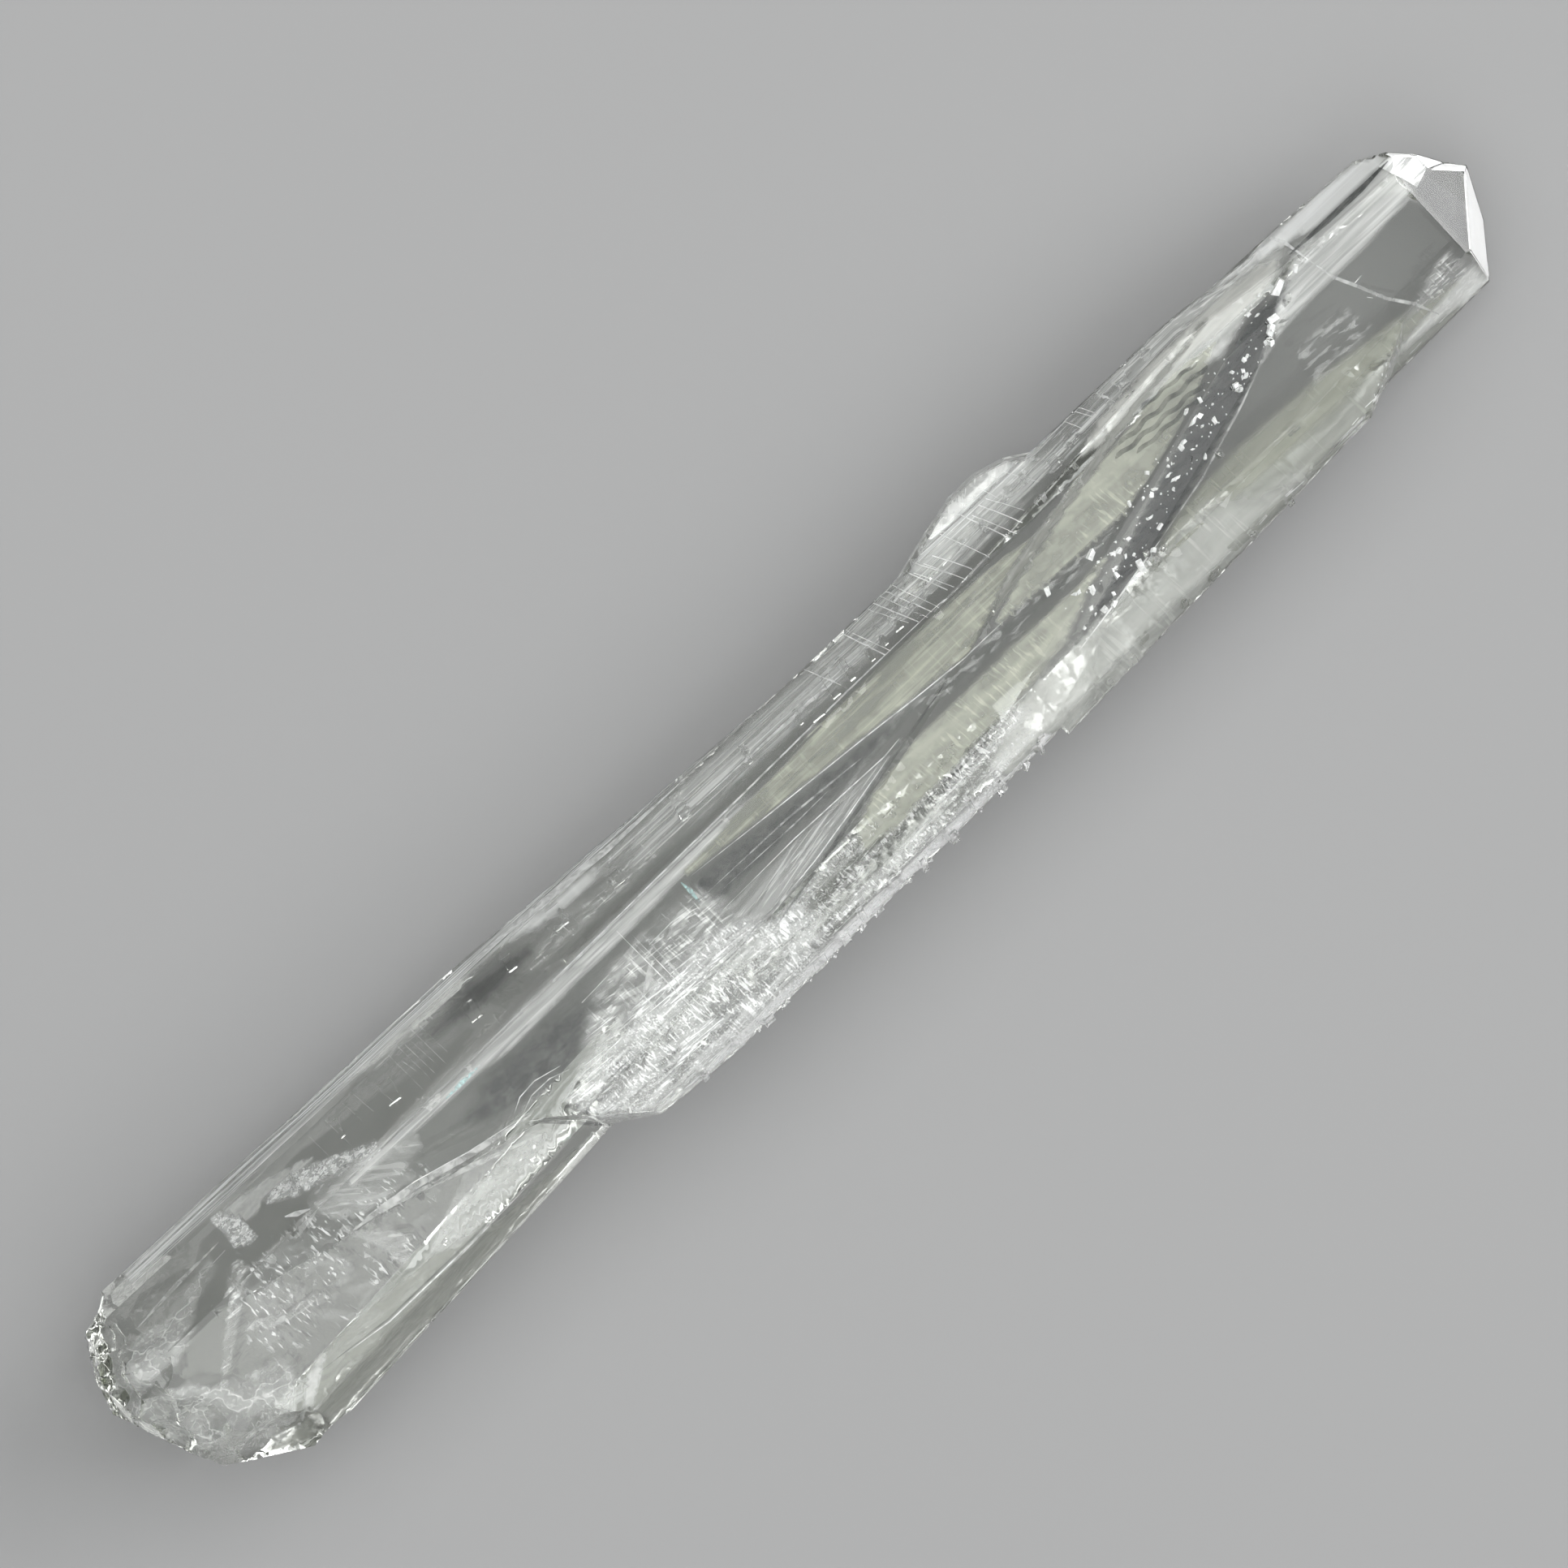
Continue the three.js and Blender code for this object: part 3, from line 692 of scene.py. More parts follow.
TOOTH_LEAN = 0.55
LEAST_TOOTH = 0.3


def toothed(start, end, count, size, seed):
    """Points of a ragged, saw-like border from start to end, its teeth pointing to -y."""
    heads = hashed(np.array([[i, 0, 0] for i in range(count)]), seed)
    border = []
    for i, head in enumerate(heads):
        tooth = size * (LEAST_TOOTH + (1 - LEAST_TOOTH) * head)
        for share, drop in ((i / count, 0), ((i + TOOTH_LEAN) / count, tooth)):
            x = start[0] + (end[0] - start[0]) * share
            y = start[1] + (end[1] - start[1]) * share
            border.append((x, y - drop))
    return border


# Each veil's name, material, how far its border fades and wanders, and outline.
VEILS = [
    # A dark band along the step's riser: painted shade.
    ("step_riser_shade", riser_shade_stuff, 0.15, 0.1, [(27, 2.5), (31.2, 4.6), (36.2, 5.6), (40.4, 6.3), (44.5, 7),
        (48.7, 7.9), (52.9, 8.4), (57.9, 9), (64.5, 9.6), (64.5, 9.1), (57.9, 8), (52.9, 7.3), (48.7, 6.6),
        (44.5, 5.6), (40.4, 4.8), (36.2, 4), (31.2, 2.8), (27, 2)]),
    ("streak_ribbon", thin_veil, 0.3, 0.2, [(-18, 9.9), (-13.8, 9.8), (7, 9.5), (27.8, 8.4), (34, 7.9),
        (27.8, 7.5), (7, 8.5), (-13.8, 8.8)]),
    ("left_face", face_stuff, 1, 0.5, [(-18, 9.6), (-12, 11), (12, 10.8), (14, 6.9), (-10, 6.6), (-18, 7)]),
    ("upper_strip", slate_stuff, 0.2, 0.1, [(44, 7.9), (48.7, 9.2), (57, 9.8), (65.4, 10), (72, 9.3),
        (74.7, 8.2), (69.5, 7.2), (61.2, 7.5), (52.9, 7.4), (48.7, 7.1)]),
    # A bright band on the point's upper faces: a painted highlight.
    ("tip_upper_highlight", tip_upper_stuff, 0.3, 0.1, [(58, 11.4), (80, 10.4), (86.2, 10.1), (88.8, 9.1),
        (89.3, 8.3), (86, 8), (79, 8), (75.5, 8.6), (68, 10.1)]),
    ("left_face_veil", face_stuff, 0.3, 0.2, [(33, 8.4), (44, 8.3), (52.9, 9), (57.9, 9.3), (66, 9.2),
        (74, 8.9), (74, 10.5), (61, 11.6), (48, 11.9), (40, 11.7), (33, 11.2)]),
    ("cross_zone", face_stuff, 0.8, 0.3, [(10, 9.8), (12, 7.2), (22, 7), (34, 7.4), (44, 8), (44, 11.5),
        (22, 11.5), (10, 11.6)]),
    # The blunt face's white: a painted reflection.
    ("blunt_face", blunt_reflection_stuff, 0, 0, [(87.4, 9.2), (88.9, 8.4), (91.1, 7.1), (91.2, 4.9), (89, 4.3),
        (88.4, 6.5)]),
    # The leaf, terrace and middle veils: olive painted reflections of the lower faces.
    ("leaf_veil", leaf_stuff, 0.25, 0, [(-13.8, 5.2), (-2.6, 5.8), (11.2, 6.3), (23.7, 6.4), (32.8, 6),
        (36.2, 5.4), (31.6, 4.1), (27.8, 2.9), (23.8, 1.4), *toothed((22.8, 1.2), (16.2, 1.7), 9, 0.35, 3),
        (9.5, 2.3), (3.7, 2.7), (-3, 3.3), (-9.7, 3.9), (-13.8, 4.2)]),
    ("terrace_veil", olive_veil, 0.25, 0, [(27, 1.7), (31.6, 3.2), (36.2, 4.2), (40.3, 5.4), (48.7, 6.6),
        (57.8, 8), (63.7, 7.1), (61.2, 5.9), (57.8, 4.2), (52.8, 2.6), (48.8, 1.5),
        *toothed((44.8, 0.6), (27, 1.1), 22, 0.6, 5)]),
    ("middle_veil", olive_veil, 0.4, 0.4, [(1.8, -3.9), (6.2, -2.2), (12.8, -1.4), (21.2, -1.1), (29.5, -1),
        (36.2, -1.2), (44.5, -0.4), (40.3, -1.6), (36.2, -2.9), (31.2, -5.2), (23.7, -6), (19.5, -6.3),
        (11.2, -6.8), (6.2, -7.1), (0.8, -6.9)]),
    ("wedge_veil", wedge_stuff, 0.2, 0, [(-13.8, -1), (-9.7, -0.6), (-3, -0.5), (9.5, -0.7), (16.2, 0.5),
        (9.5, -1.2), (2.8, -2.8), (-3, -3.9), (-9.3, -5), (-11.8, -3.8)]),
    ("side_pale", side_pale_stuff, 3, 1.5, [(24, -14), (27.8, -9.6), (30, -7), (33.3, -4.6), (40.3, -3.5),
        (46.1, -2.7), (51, -2.4), (58, -6), (66, -9), (72, -12.2), (47.8, -15), (40.3, -15.4),
        (30.8, -15.6)]),
    # An olive painted reflection of the lower faces.
    ("side_olive", side_olive_stuff, 0.9, 0.3, [(44, -4.2), (48.6, -2.8), (52.7, -2.3), (56.9, -2.1),
        (65.2, -2.2), (74.4, -3.1), (86.5, -4.9), (86, -6.2), (76, -7), (65.2, -7), (52.7, -7), (44, -6.8)]),
    # A darker copy of side_olive: painted shade, where the right lamp lights the slanted face strongly.
    ("side_low", side_low_shade_stuff, 0.9, 0.3, [(36, -4.9), (55, -4.6), (66, -4.7), (69.5, -5.3), (78, -6.6),
        (86.5, -7.3), (84, -9.4), (70, -11), (56.9, -12), (48.6, -12.6), (36, -13)]),
    ("left_band", streak_stuff, 0.15, 0, [(-84.2, 10.9), (-38.8, 10.8), (-13.8, 10.5), (19.5, 10.2),
        (52.8, 10.6), (86.2, 9.9), (86.2, 10.7), (61.2, 11.7), (40.3, 11.7), (19.5, 11.7), (-13.8, 12.3),
        (-38.8, 13.1), (-84.2, 13.1)]),
    ("tip_lower_band", tip_lower_stuff, 0.6, 0.2, [(62.8, 1.3), (71.2, 6.2), (75, 8.1), (88.2, 8.1),
        (89.5, 6.7), (88.2, 3.8), (80.3, 3.2), (69.5, 2.9)]),
    ("ridge_band", ridge_stuff, 0.4, 0.2, [(-60.5, 5.6), (-43, 6), (-30.5, 6.1), (-13.8, 6.2), (-3, 6.2),
        (-3, 5.6), (-13.8, 4.3), (-23.8, 4), (-30.5, 3.8), (-38.8, 3.6), (-43, 3.9), (-60.5, 4.4)]),
    ("silver_veil", silver_stuff, 1.8, 1.4, [(-40, -7.3), (-39.2, -2.9), (-34.2, -1.3), (-28.2, -0.2),
        (-22.2, 0.2), (-15.2, 0), (-11.2, -1.9), (-10, -3.3), (-7, -4), (-4.5, -4.6), (-5.5, -8),
        (-9.5, -13.8), (-22.2, -14), (-31.3, -13.7), (-37.6, -10.4)]),
    ("scaly_veil", scaly_stuff, 1.4, 0.8, [(-9.5, -4.2), (-3, -3.2), (2.8, -2.9), (7, -4), (11.2, -4.9),
        (19.5, -4.7), (24, -5), (25, -8), (23, -12.5), (7, -13), (-8.5, -13.4), (-10.5, -9)]),
    ("margin_veil", margin_stuff, 0.15, 0, [(-31.6, -11.5), (-26.2, -10.8), (-13.7, -10.6), (-1.3, -10.1),
        (11.2, -9.9), (22.8, -10), (24.8, -11.2), (22.8, -11.5), (11.2, -11.7), (-1.3, -12), (-13.8, -12.4),
        (-20.4, -12.7), (-26.2, -12.4), (-30.3, -12)]),
    ("milky_veil", milky_stuff, 1.2, 0.8, [(15.5, -8.6), (19, -6.6), (22.8, -5.5), (26.1, -5), (31.1, -4.6),
        (36.8, -4.9), (37.6, -7.9), (34.6, -10.5), (32.5, -13), (27, -14), (20.8, -13.6), (16.7, -11.9)]),
    ("saw_cloud", speck_stuff, 0.5, 0.4, [(14.4, 1.6), (27.7, 1.5), (36, 1.1), (44.3, 0.6), (41.8, -0.9),
        (27.7, -1.3), (16.1, -0.8)]),
    ("soft_silver", cloud_stuff, 1.6, 1.2, [(-37.2, -3.3), (-33.8, 0.7), (-29.2, 3.4), (-22.2, 4.4),
        (-13.2, 4), (-11.2, -0.3), (-11.2, -4.3), (-22.2, -5.3), (-34.2, -6.3)]),
    ("left_cloud", cloud_stuff, 0.8, 0.4, [(-34.5, 6.5), (-33.7, 7.3), (-29.6, 9), (-25.4, 9.4),
        (-21.3, 8.7), (-17.1, 9.4), (-14.2, 10.1), (-13.8, 6.5), (-22, 6.4)]),
    ("bright_cloud", tip_upper_stuff, 0.9, 0.4, [(-33.8, 11.2), (-30.4, 11.2), (-25.4, 10.9), (-19.6, 10.5),
        (-18.7, 9.4), (-21.2, 8.7), (-25.4, 8.6), (-28.7, 9), (-32.1, 10.1)]),
    ("tip_right_band", tip_side_stuff, 0.5, 0.3, [(66, -9.6), (72, -6.8), (78.8, -5.7), (84, -4.9),
        (89.5, -4.5), (89.5, -9), (70, -10.2)]),
    ("tip_right_cloud", cloud_stuff, 0.8, 0.5, [(77, -6), (80.3, -3.6), (85.5, -2.2), (88, -2), (88, -6)]),
    ("tip_right_edge", pale_veil, 0.3, 0.2, [(46, -10.6), (57, -9.9), (72, -8.2), (88.4, -7.4), (88.4, -9.4),
        (72, -10), (57, -11.6), (46, -12)]),
    ("tip_wisp", speck_stuff, 0.5, 0.4, [(68, 0.9), (75.7, 0.9), (76.6, -3.5), (67.2, -4.1)]),
    ("point_shade", clear_shade, 0.1, 0, [(88.1, 4.2), (91.1, 4.7), (93.8, 2.3), (88.4, -4.4),
        (88.1, -4.4)]),
    # A dimming sheet over the blunt face: painted shade.
    ("blunt_stripes", dim_veil, 0.1, 0, [(88.8, 8.2), (90.9, 7), (91, 4.9), (89, 4.2), (88.6, 6.5)]),
    ("streak_band", face_stuff, 0.6, 0.2, [(-30.2, 9.6), (-18, 10.2), (2.8, 10.1), (23.7, 10.3), (40.3, 10),
        (48, 9.6), (40.3, 8.9), (27.8, 8.6), (2.8, 8.6), (-18, 8.4)]),
    ("lens_veil", lens_stuff, 0.2, 0.1, [(23.6, 11.6), (26.1, 12.5), (29.5, 12.8), (32.8, 13.2),
        (36.2, 13.2), (39, 12.5), (40.7, 11.5), (38, 10.8), (33, 11), (28, 11.2)]),
    ("lens_foot", tip_side_stuff, 0.8, 0.4, [(23, 10.6), (28, 11.5), (34, 11.4), (40.5, 11), (43.6, 9.5),
        (40.2, 8), (36.1, 7.6), (31.1, 7.5), (27.8, 8), (24.5, 9.2)]),
    ("channel_mist", pale_veil, 0.5, 0.5, [(60, 5.4), (60.4, 6.6), (63.7, 8.8), (67.9, 9.6), (72, 9.7),
        (75, 9), (76.2, 8.2), (73.5, 7.2), (67.9, 6.5), (63, 5.2)]),
    ("channel_shade", shade_veil, 0.2, 0, [(31.1, -5.7), (40.2, -2.9), (44.3, -1), (51.8, 1.7), (57.6, 3.6),
        (63.4, 5.3), (67.6, 6.4), (72.2, 6.3), (72.6, 5.7), (66, 2.4), (61, 0.5), (52.7, -2.1), (44.4, -4.3),
        (40.2, -4.6), (36.1, -5.2), (31.9, -6.3)]),
    ("saw_shade", dim_veil, 0.7, 0.5, [(14.4, 1.2), (19.4, 1), (27.7, 1), (36, 0.5), (44.3, 0.2),
        (41.8, -0.7), (36, -1), (27.7, -1.1), (19.4, -1.1), (16.1, -0.6)]),
    ("wedge_shade", soft_shade_stuff, 0.6, 0.2, [(-14.2, 3.9), (-3, 3), (9.5, 2), (16.2, 1.4), (14.8, 0.6),
        (9.5, -0.3), (-9.7, -0.2), (-14.2, -0.3)]),
    ("left_shade", clear_shade, 1.4, 0.5, [(-46.2, 9.7), (-38.8, 10.7), (-33.8, 10.3), (-28.8, 9.4),
        (-30.2, 7.1), (-38.8, 6.9), (-44.2, 7.7)]),
    ("heart_shade", soft_shade_stuff, 2, 0.6, [(-51, 2.4), (-43, 4.4), (-34, 4.4), (-29, 3.4), (-27, 1),
        (-33.8, -3), (-40.5, -2.6), (-47, -0.8)]),
    ("feather_start", crack_stuff, 0.15, 0.3, [(-73.8, 10.5), (-72, 10.2), (-70.9, 8.8), (-70.7, 6.3),
        (-72, 6.1), (-73.6, 6.9), (-73.5, 8.8)]),
    ("feather_plane", pale_veil, 0.15, 0, [(-72.2, 10.3), (-67, 9.7), (-63, 8.9), (-60, 7.7), (-62.6, 7.9),
        (-65.7, 8.4), (-68.1, 8.2), (-69.3, 7.7), (-70.8, 7.9)]),
    ("feather", crack_stuff, 0.15, 0.3, [(-68.7, 8.1), (-65.7, 8.8), (-62.6, 8.1), (-59.3, 7), (-56.8, 6.1),
        (-54.2, 5.5), (-56, 4.9), (-59.3, 5.4), (-62.4, 5.8), (-65.1, 6.4), (-67.2, 7.3)]),
    ("slant_crack", cloud_stuff, 0.3, 0.3, [(-73, 6.9), (-75.5, 6), (-78.3, 4.3), (-81.4, 2), (-84, -1),
        (-83.4, -1.5), (-79.7, 1.2), (-76.4, 3.6), (-73.6, 5.2)]),
    ("low_crack", cloud_stuff, 0.3, 0.3, [(-79.4, 2.4), (-76.9, 1.7), (-73.9, 0.1), (-70.6, -0.6),
        (-71.6, -1.5), (-75.1, -0.9), (-78.1, 0.9)]),
    ("fork_veil", plane_stuff, 0.15, 0.1, [(-64.4, 2.6), (-63.2, 2.2), (-62.8, 0.8), (-61.4, -0.3),
        (-59.9, -1.9), (-59.5, -3.1), (-60.2, -4.3), (-61.7, -6), (-62.5, -5), (-62.3, -3.3), (-63, -0.9),
        (-63.8, 0.8)]),
    ("patch_veil", plane_stuff, 0.3, 0.2, [(-65.2, 5.8), (-61.8, 6.3), (-55.1, 5.5), (-51.4, 4.2),
        (-52.1, 2.5), (-55.2, 2), (-54.2, 0.5), (-58.5, 1.1), (-61.8, 1.7), (-63.8, 2.9)]),
    ("root_cloud", shard_stuff, 0.6, 0.6, [(-94.2, 3.4), (-91.9, 3.5), (-88.2, 3.2), (-85.8, 1.9),
        (-84.6, -0.2), (-80.9, -1.5), (-77.6, -2.4), (-76.7, -3.7), (-77.4, -5.8), (-78.5, -7.5),
        (-81.6, -9.8), (-83.8, -11.3), (-86.1, -9.5), (-89.4, -6.2), (-91.5, -3.7), (-93.5, 0.8)]),
    ("root_top_cloud", shard_stuff, 0.6, 0.6, [(-93.8, 3.5), (-90.2, 7.7), (-83.4, 7.1), (-76.8, 8.1),
        (-74.3, 7.4), (-77.5, 5.9), (-81.6, 4.5), (-85.7, 3.2), (-88.2, 3.3)]),
    ("root_pits", pit_stuff, 1.5, 0.8, [(-76.3, 6.2), (-66.8, 6.2), (-55.1, 4), (-51.8, 1), (-53.5, -2.5),
        (-60.2, -5.9), (-70.1, -6.7), (-77.5, -4), (-80, 0.2)]),
    # A grey sheet that dims the glare at the root's lower corner: painted shade.
    ("root_corner", grey_shade_veil, 0.3, 0.2, [(-86.3, -9.5), (-83.7, -11.6), (-80.8, -12.9), (-78.2, -12.6),
        (-78.8, -8.7), (-82.7, -8)]),
    ("root_wedge", pale_veil, 0.2, 0.1, [(-82.2, -10.7), (-76.8, -6.2), (-74.3, -5.6), (-73.6, -6.2),
        (-77.6, -8.8), (-81.1, -11.4)]),
    ("root_plane", thin_veil, 0.2, 0.1, [(-59.4, -5.9), (-55.2, -3.9), (-50.2, -1.9), (-46.9, -1.7),
        (-41.8, -4.7), (-39.9, -6.9), (-44.5, -7.3), (-50.3, -7.5), (-56.9, -7.8)]),
    # A grey sheet that dims the strongly lit face low on the root: painted shade.
    ("root_low_veil", grey_shade_veil, 0.3, 0.2, [(-76.8, -5.8), (-66.8, -5.6), (-59.4, -6.1), (-50.3, -7.7),
        (-42, -7.3), (-38.7, -7.6), (-47, -9.9), (-55.4, -11.3), (-63.7, -12.7), (-73.7, -13.3),
        (-81.2, -12.7), (-82.5, -11.2)]),
    ("split_plane", pale_veil, 0.2, 0, [(-37.2, -7.7), (-35.8, -8.7), (-30.3, -11), (-31.7, -11.6),
        (-34.7, -11.8), (-36.7, -9.7)]),
]
for i, (name, material, feather, ragged, outline) in enumerate(VEILS):
    shown(name, sheet_mesh(name, outline, VEIL_DEPTH + i * VEIL_GAP, feather, ragged), material)

# -------- thin lines

# Each line is a width and a path in plan, in millimetres.
BRIGHT_LINES = [
    (0.4, [(74, 11.7), (75.4, 9.2), (75.9, 6.6)]),
    # Along the ridge: a painted highlight.
    (0.15, [(-34.2, 5.8), (-13.8, 6.2), (-3, 6.4), (11.2, 6.7), (26.8, 6.8)]),
    (0.12, [(-13.2, 4.1), (-3, 3.2), (9.5, 2.2), (15.8, 1.6), (22.8, 1.1), (27.8, 1.1)]),
    (0.12, [(-13.2, -0.7), (-3, -0.4), (9.5, -0.6), (11.8, -0.3)]),
    (0.12, [(-11.2, -4.5), (-3, -3.5), (2.8, -2.4), (9.5, -1)]),
    (0.25, [(-8, 8.4), (7, 8.3), (14, 8)]),
    (0.5, [(-36, 11.7), (-26, 11.3), (-18, 10.9), (-8, 10.8)]),
    (0.2, [(31.5, -6.5), (36.9, -5.6), (41.9, -4.6), (45.2, -4)]),
    (0.5, [(-67.4, 6.8), (-66.3, 6.3), (-64.9, 5.8)]),
    (0.12, [(-62.2, 1.6), (-55.2, 0.7), (-49, -0.9), (-41.9, -2.2)]),
    (0.12, [(-42.5, -2.8), (-40.8, -4.2), (-38.3, -6.8), (-36.3, -9.4)]),
    (0.12, [(-43, -1.2), (-41.5, -0.4), (-39.3, -0.2), (-36.3, -0.9)]),
    (0.1, [(-42.5, -1.9), (-40.5, -1.1), (-38, -1.1), (-35.9, -1.8)]),
    (0.15, [(-72.2, -7.6), (-66.9, -8.3), (-55.3, -8.2), (-46.2, -7.7)]),
    (0.14, [(-22.7, 5.2), (-22.5, -1.6), (-22.4, -10)]),
    (0.1, [(-21.8, 3.7), (-21.7, -2.5), (-21.7, -9.6)]),
    # The short dashes from here on are painted glints.
    (0.3, [(-30.3, 2.3), (-26.4, 2.5)]), (0.25, [(-21.2, 1.9), (-17.9, 2)]),
    (0.2, [(-27, -3), (-22.1, -2.6)]), (0.3, [(-21.4, -4.3), (-17.1, -4.8)]),
    (0.25, [(-34.5, -2.6), (-31.2, -2.9)]), (0.5, [(57.7, -9.5), (60.2, -9.6)]),
    (0.35, [(53.8, -9.7), (55, -9.6)]), (0.35, [(67.7, -8.9), (68.7, -8.8)]),
    (0.4, [(69.9, -8.5), (72, -8.5)]), (0.3, [(77.3, -8.3), (79, -8.2)]),
    (0.3, [(81.7, -8), (83.5, -7.9)]), (0.4, [(77.8, 1.6), (78.8, 1.7)]),
    (0.3, [(77.7, -0.3), (78.1, -0.8)]), (0.2, [(28.8, 12.1), (30.4, 10.7)]),
    (0.15, [(31, 12.6), (32.1, 11.5)]), (0.2, [(35.3, 12.3), (36.1, 10.1)]),
    (0.2, [(38.2, 11.9), (40.2, 8.7)]),
]
FAINT_LINES = [
    (0.35, [(75.9, 6.6), (76.6, 3.5), (77.8, 1.1), (79.1, -1.8), (81, -4.4), (82.2, -7.2)]),
    (0.12, [(-12.2, -2.5), (-3, -1.8), (5.8, -1.2)]),
    (0.12, [(-12.2, -3.3), (-3, -2.4), (4.8, -1.5)]),
    (0.2, [(-13.2, 1.7), (-2.2, 1.6), (3.8, 1.2), (7.8, 0.9)]),
    (0.15, [(-12.2, 0.9), (-2.2, 0.7), (2.8, 0.8)]),
    (0.2, [(45.2, -4), (52.7, -2.3), (61, 0.5), (65.3, 2.3)]),
    (0.7, [(-63.2, 1.4), (-59.3, 1), (-55.2, 0.3), (-49, -1.2), (-41.9, -2.5)]),
    (0.6, [(-60.1, 0.8), (-55.2, -0.5), (-50.2, -2.2), (-42, -5.1)]),
    (0.4, [(-86.2, 8.5), (-80.5, 8.9), (-74.3, 9.1)]),
    (0.3, [(-80.2, 7.9), (-74.3, 8.2)]),
    # The ridge's painted highlight, fainter towards the point.
    (0.15, [(26.8, 6.8), (35.8, 7.4), (43.8, 8), (52.8, 8.7), (61.8, 9.1)]),
    (0.25, [(-21, 3), (-21.1, -2.5), (-21.2, -8.4)]),
    (0.2, [(-25.3, 1.7), (-25.2, -3.3), (-25.2, -9.2)]),
    (0.15, [(-27.1, 0.9), (-27, -4), (-27, -8.6)]),
    (0.8, [(-25.4, -1.6), (-23.3, -0.4), (-22.1, 0.5)]),
]
SHADE_LINES = [(0.55, [(74.8, 8.15), (79.8, 8.05), (84.8, 8.05), (88.8, 8.25)])]
# Dark lines: painted shade.
SOFT_SHADE_LINES = [
    (0.35, [(-11.2, -5.9), (-3, -4.2), (2.8, -2.9), (9.5, -1.4), (19.5, 0.7)]),
    (0.35, [(-43, -2.9), (-41.3, -4.3), (-38.8, -6.9), (-36.8, -9.5), (-34.7, -11.3)]),
    (0.2, [(-75.6, -7.1), (-66.9, -8), (-55.3, -7.9), (-44.5, -7.3)]),
]
# Teal painted glints.
TEAL_GLINTS = [
    (0.5, [(-14.5, 4.3), (-14.4, 2.9), (-14.5, 1.6)]),
    (0.5, [(-47.2, 4.7), (-44.7, 4.8), (-42.2, 4.8)]),
]


POINTS_PER_WAVE = 6


def waved(start, end, width, swing, waves):
    """A wavy line from start to end."""
    shares = np.linspace(0, 1, POINTS_PER_WAVE * waves + 1)
    path = [
        (start[0] + (end[0] - start[0]) * share,
         start[1] + (end[1] - start[1]) * share + swing * math.sin(2 * math.pi * waves * share))
        for share in shares
    ]
    return width, path


WAVED_LINES = [
    waved((52.9, 7.4), (60.4, 6.9), 0.4, 0.12, 3),
    waved((48.7, 6.2), (61, 5.9), 0.5, 0.16, 4),
    waved((47.5, 5.4), (59.5, 4.8), 0.5, 0.14, 4),
    waved((49.5, 4.3), (58.4, 4), 0.45, 0.12, 3),
]

# Growth lines across the upper left face: the station and width of each.
CROSS_LINES = [
    (9.2, 0.4), (14.6, 0.65), (15.3, 0.4), (18.6, 0.35), (19.4, 0.6), (20.4, 0.35), (21.1, 0.55),
    (21.9, 0.35), (23.8, 0.55), (24.5, 0.35), (25.2, 0.45), (25.9, 0.35), (27.1, 0.55), (29.2, 0.35),
    (32.1, 0.6), (32.9, 0.4), (34.1, 0.55), (35.1, 0.35),
]
FAR_CROSS_LINES = [(46.3, 0.4), (47.9, 0.35), (48.4, 0.4), (50.6, 0.35)]
ROOT_CROSS_LINES = [
    (-60.2, 0.15), (-57.9, 0.2), (-55.4, 0.15), (-53.9, 0.15), (-51.6, 0.2), (-48.6, 0.15),
    (-47.9, 0.25), (-47.3, 0.2), (-46.6, 0.3), (-45.9, 0.2), (-45.1, 0.25), (-44.2, 0.2),
]


def cross_lines(stations, lean, starts, ends, seed):
    """Lines from the left edge towards the ridge, each between heights of its own."""
    draws = hashed(np.array([[i, j, 0] for i in range(len(stations)) for j in (0, 1)]), seed)
    return [
        (width, [
            (station, starts[0] + (starts[1] - starts[0]) * left**2),
            (station + lean, ends[0] + (ends[1] - ends[0]) * right**2),
        ])
        for (station, width), (left, right) in zip(stations, draws.reshape(-1, 2))
    ]


LINE_GROUPS = [
    ("bright_lines", bright_line, BRIGHT_LINES),
    ("faint_lines", faint_line, FAINT_LINES),
    ("shade_lines", shade_veil, SHADE_LINES),
    ("teal_glints", teal_glint, TEAL_GLINTS),
    ("soft_shade_lines", soft_shade_stuff, [*SOFT_SHADE_LINES, *WAVED_LINES]),
    ("cross_lines", cross_stuff, [
        *cross_lines(CROSS_LINES, lean=2, starts=(11.5, 10.4), ends=(6.6, 8), seed=41),
        *cross_lines(FAR_CROSS_LINES, lean=0.9, starts=(11.5, 11), ends=(9.4, 9.9), seed=43),
    ]),
    ("root_cross_lines", faint_line,
        cross_lines(ROOT_CROSS_LINES, lean=0.4, starts=(11.3, 9.6), ends=(6.6, 8.6), seed=42)),
]
GROUP_GAP = 0.012 * MM
for i, (name, material, lines) in enumerate(LINE_GROUPS):
    shown(name, lines_mesh(name, lines, LINE_DEPTH - (i + 1) * GROUP_GAP), material)

# -------- grains on the step's channel

# Larger grains in the channel, as (x, y, size), in millimetres.
GRAINS = [
    (33.2, 0.2, 0.55), (39, -0.1, 0.7), (36.2, -5.3, 0.6), (37.4, -5.5, 0.45), (38, -4.7, 0.4),
    (40.7, -5.1, 0.5), (42, -4.5, 0.7), (42.8, -4.9, 0.45), (44, -4.2, 0.4), (46.1, -2.9, 0.4),
    (53.2, 1.6, 0.45), (54.4, -0.9, 0.35), (56, 2.7, 0.6), (61.6, 2.3, 0.65), (63.1, 2.3, 0.4),
    (68.1, 4.1, 0.75), (69.1, 4.7, 0.7), (67.4, 3.1, 0.6), (71.8, 6.7, 0.9), (74.3, 6.9, 0.45),
    (50.7, -0.4, 0.4), (47.8, 0.1, 0.3),
]
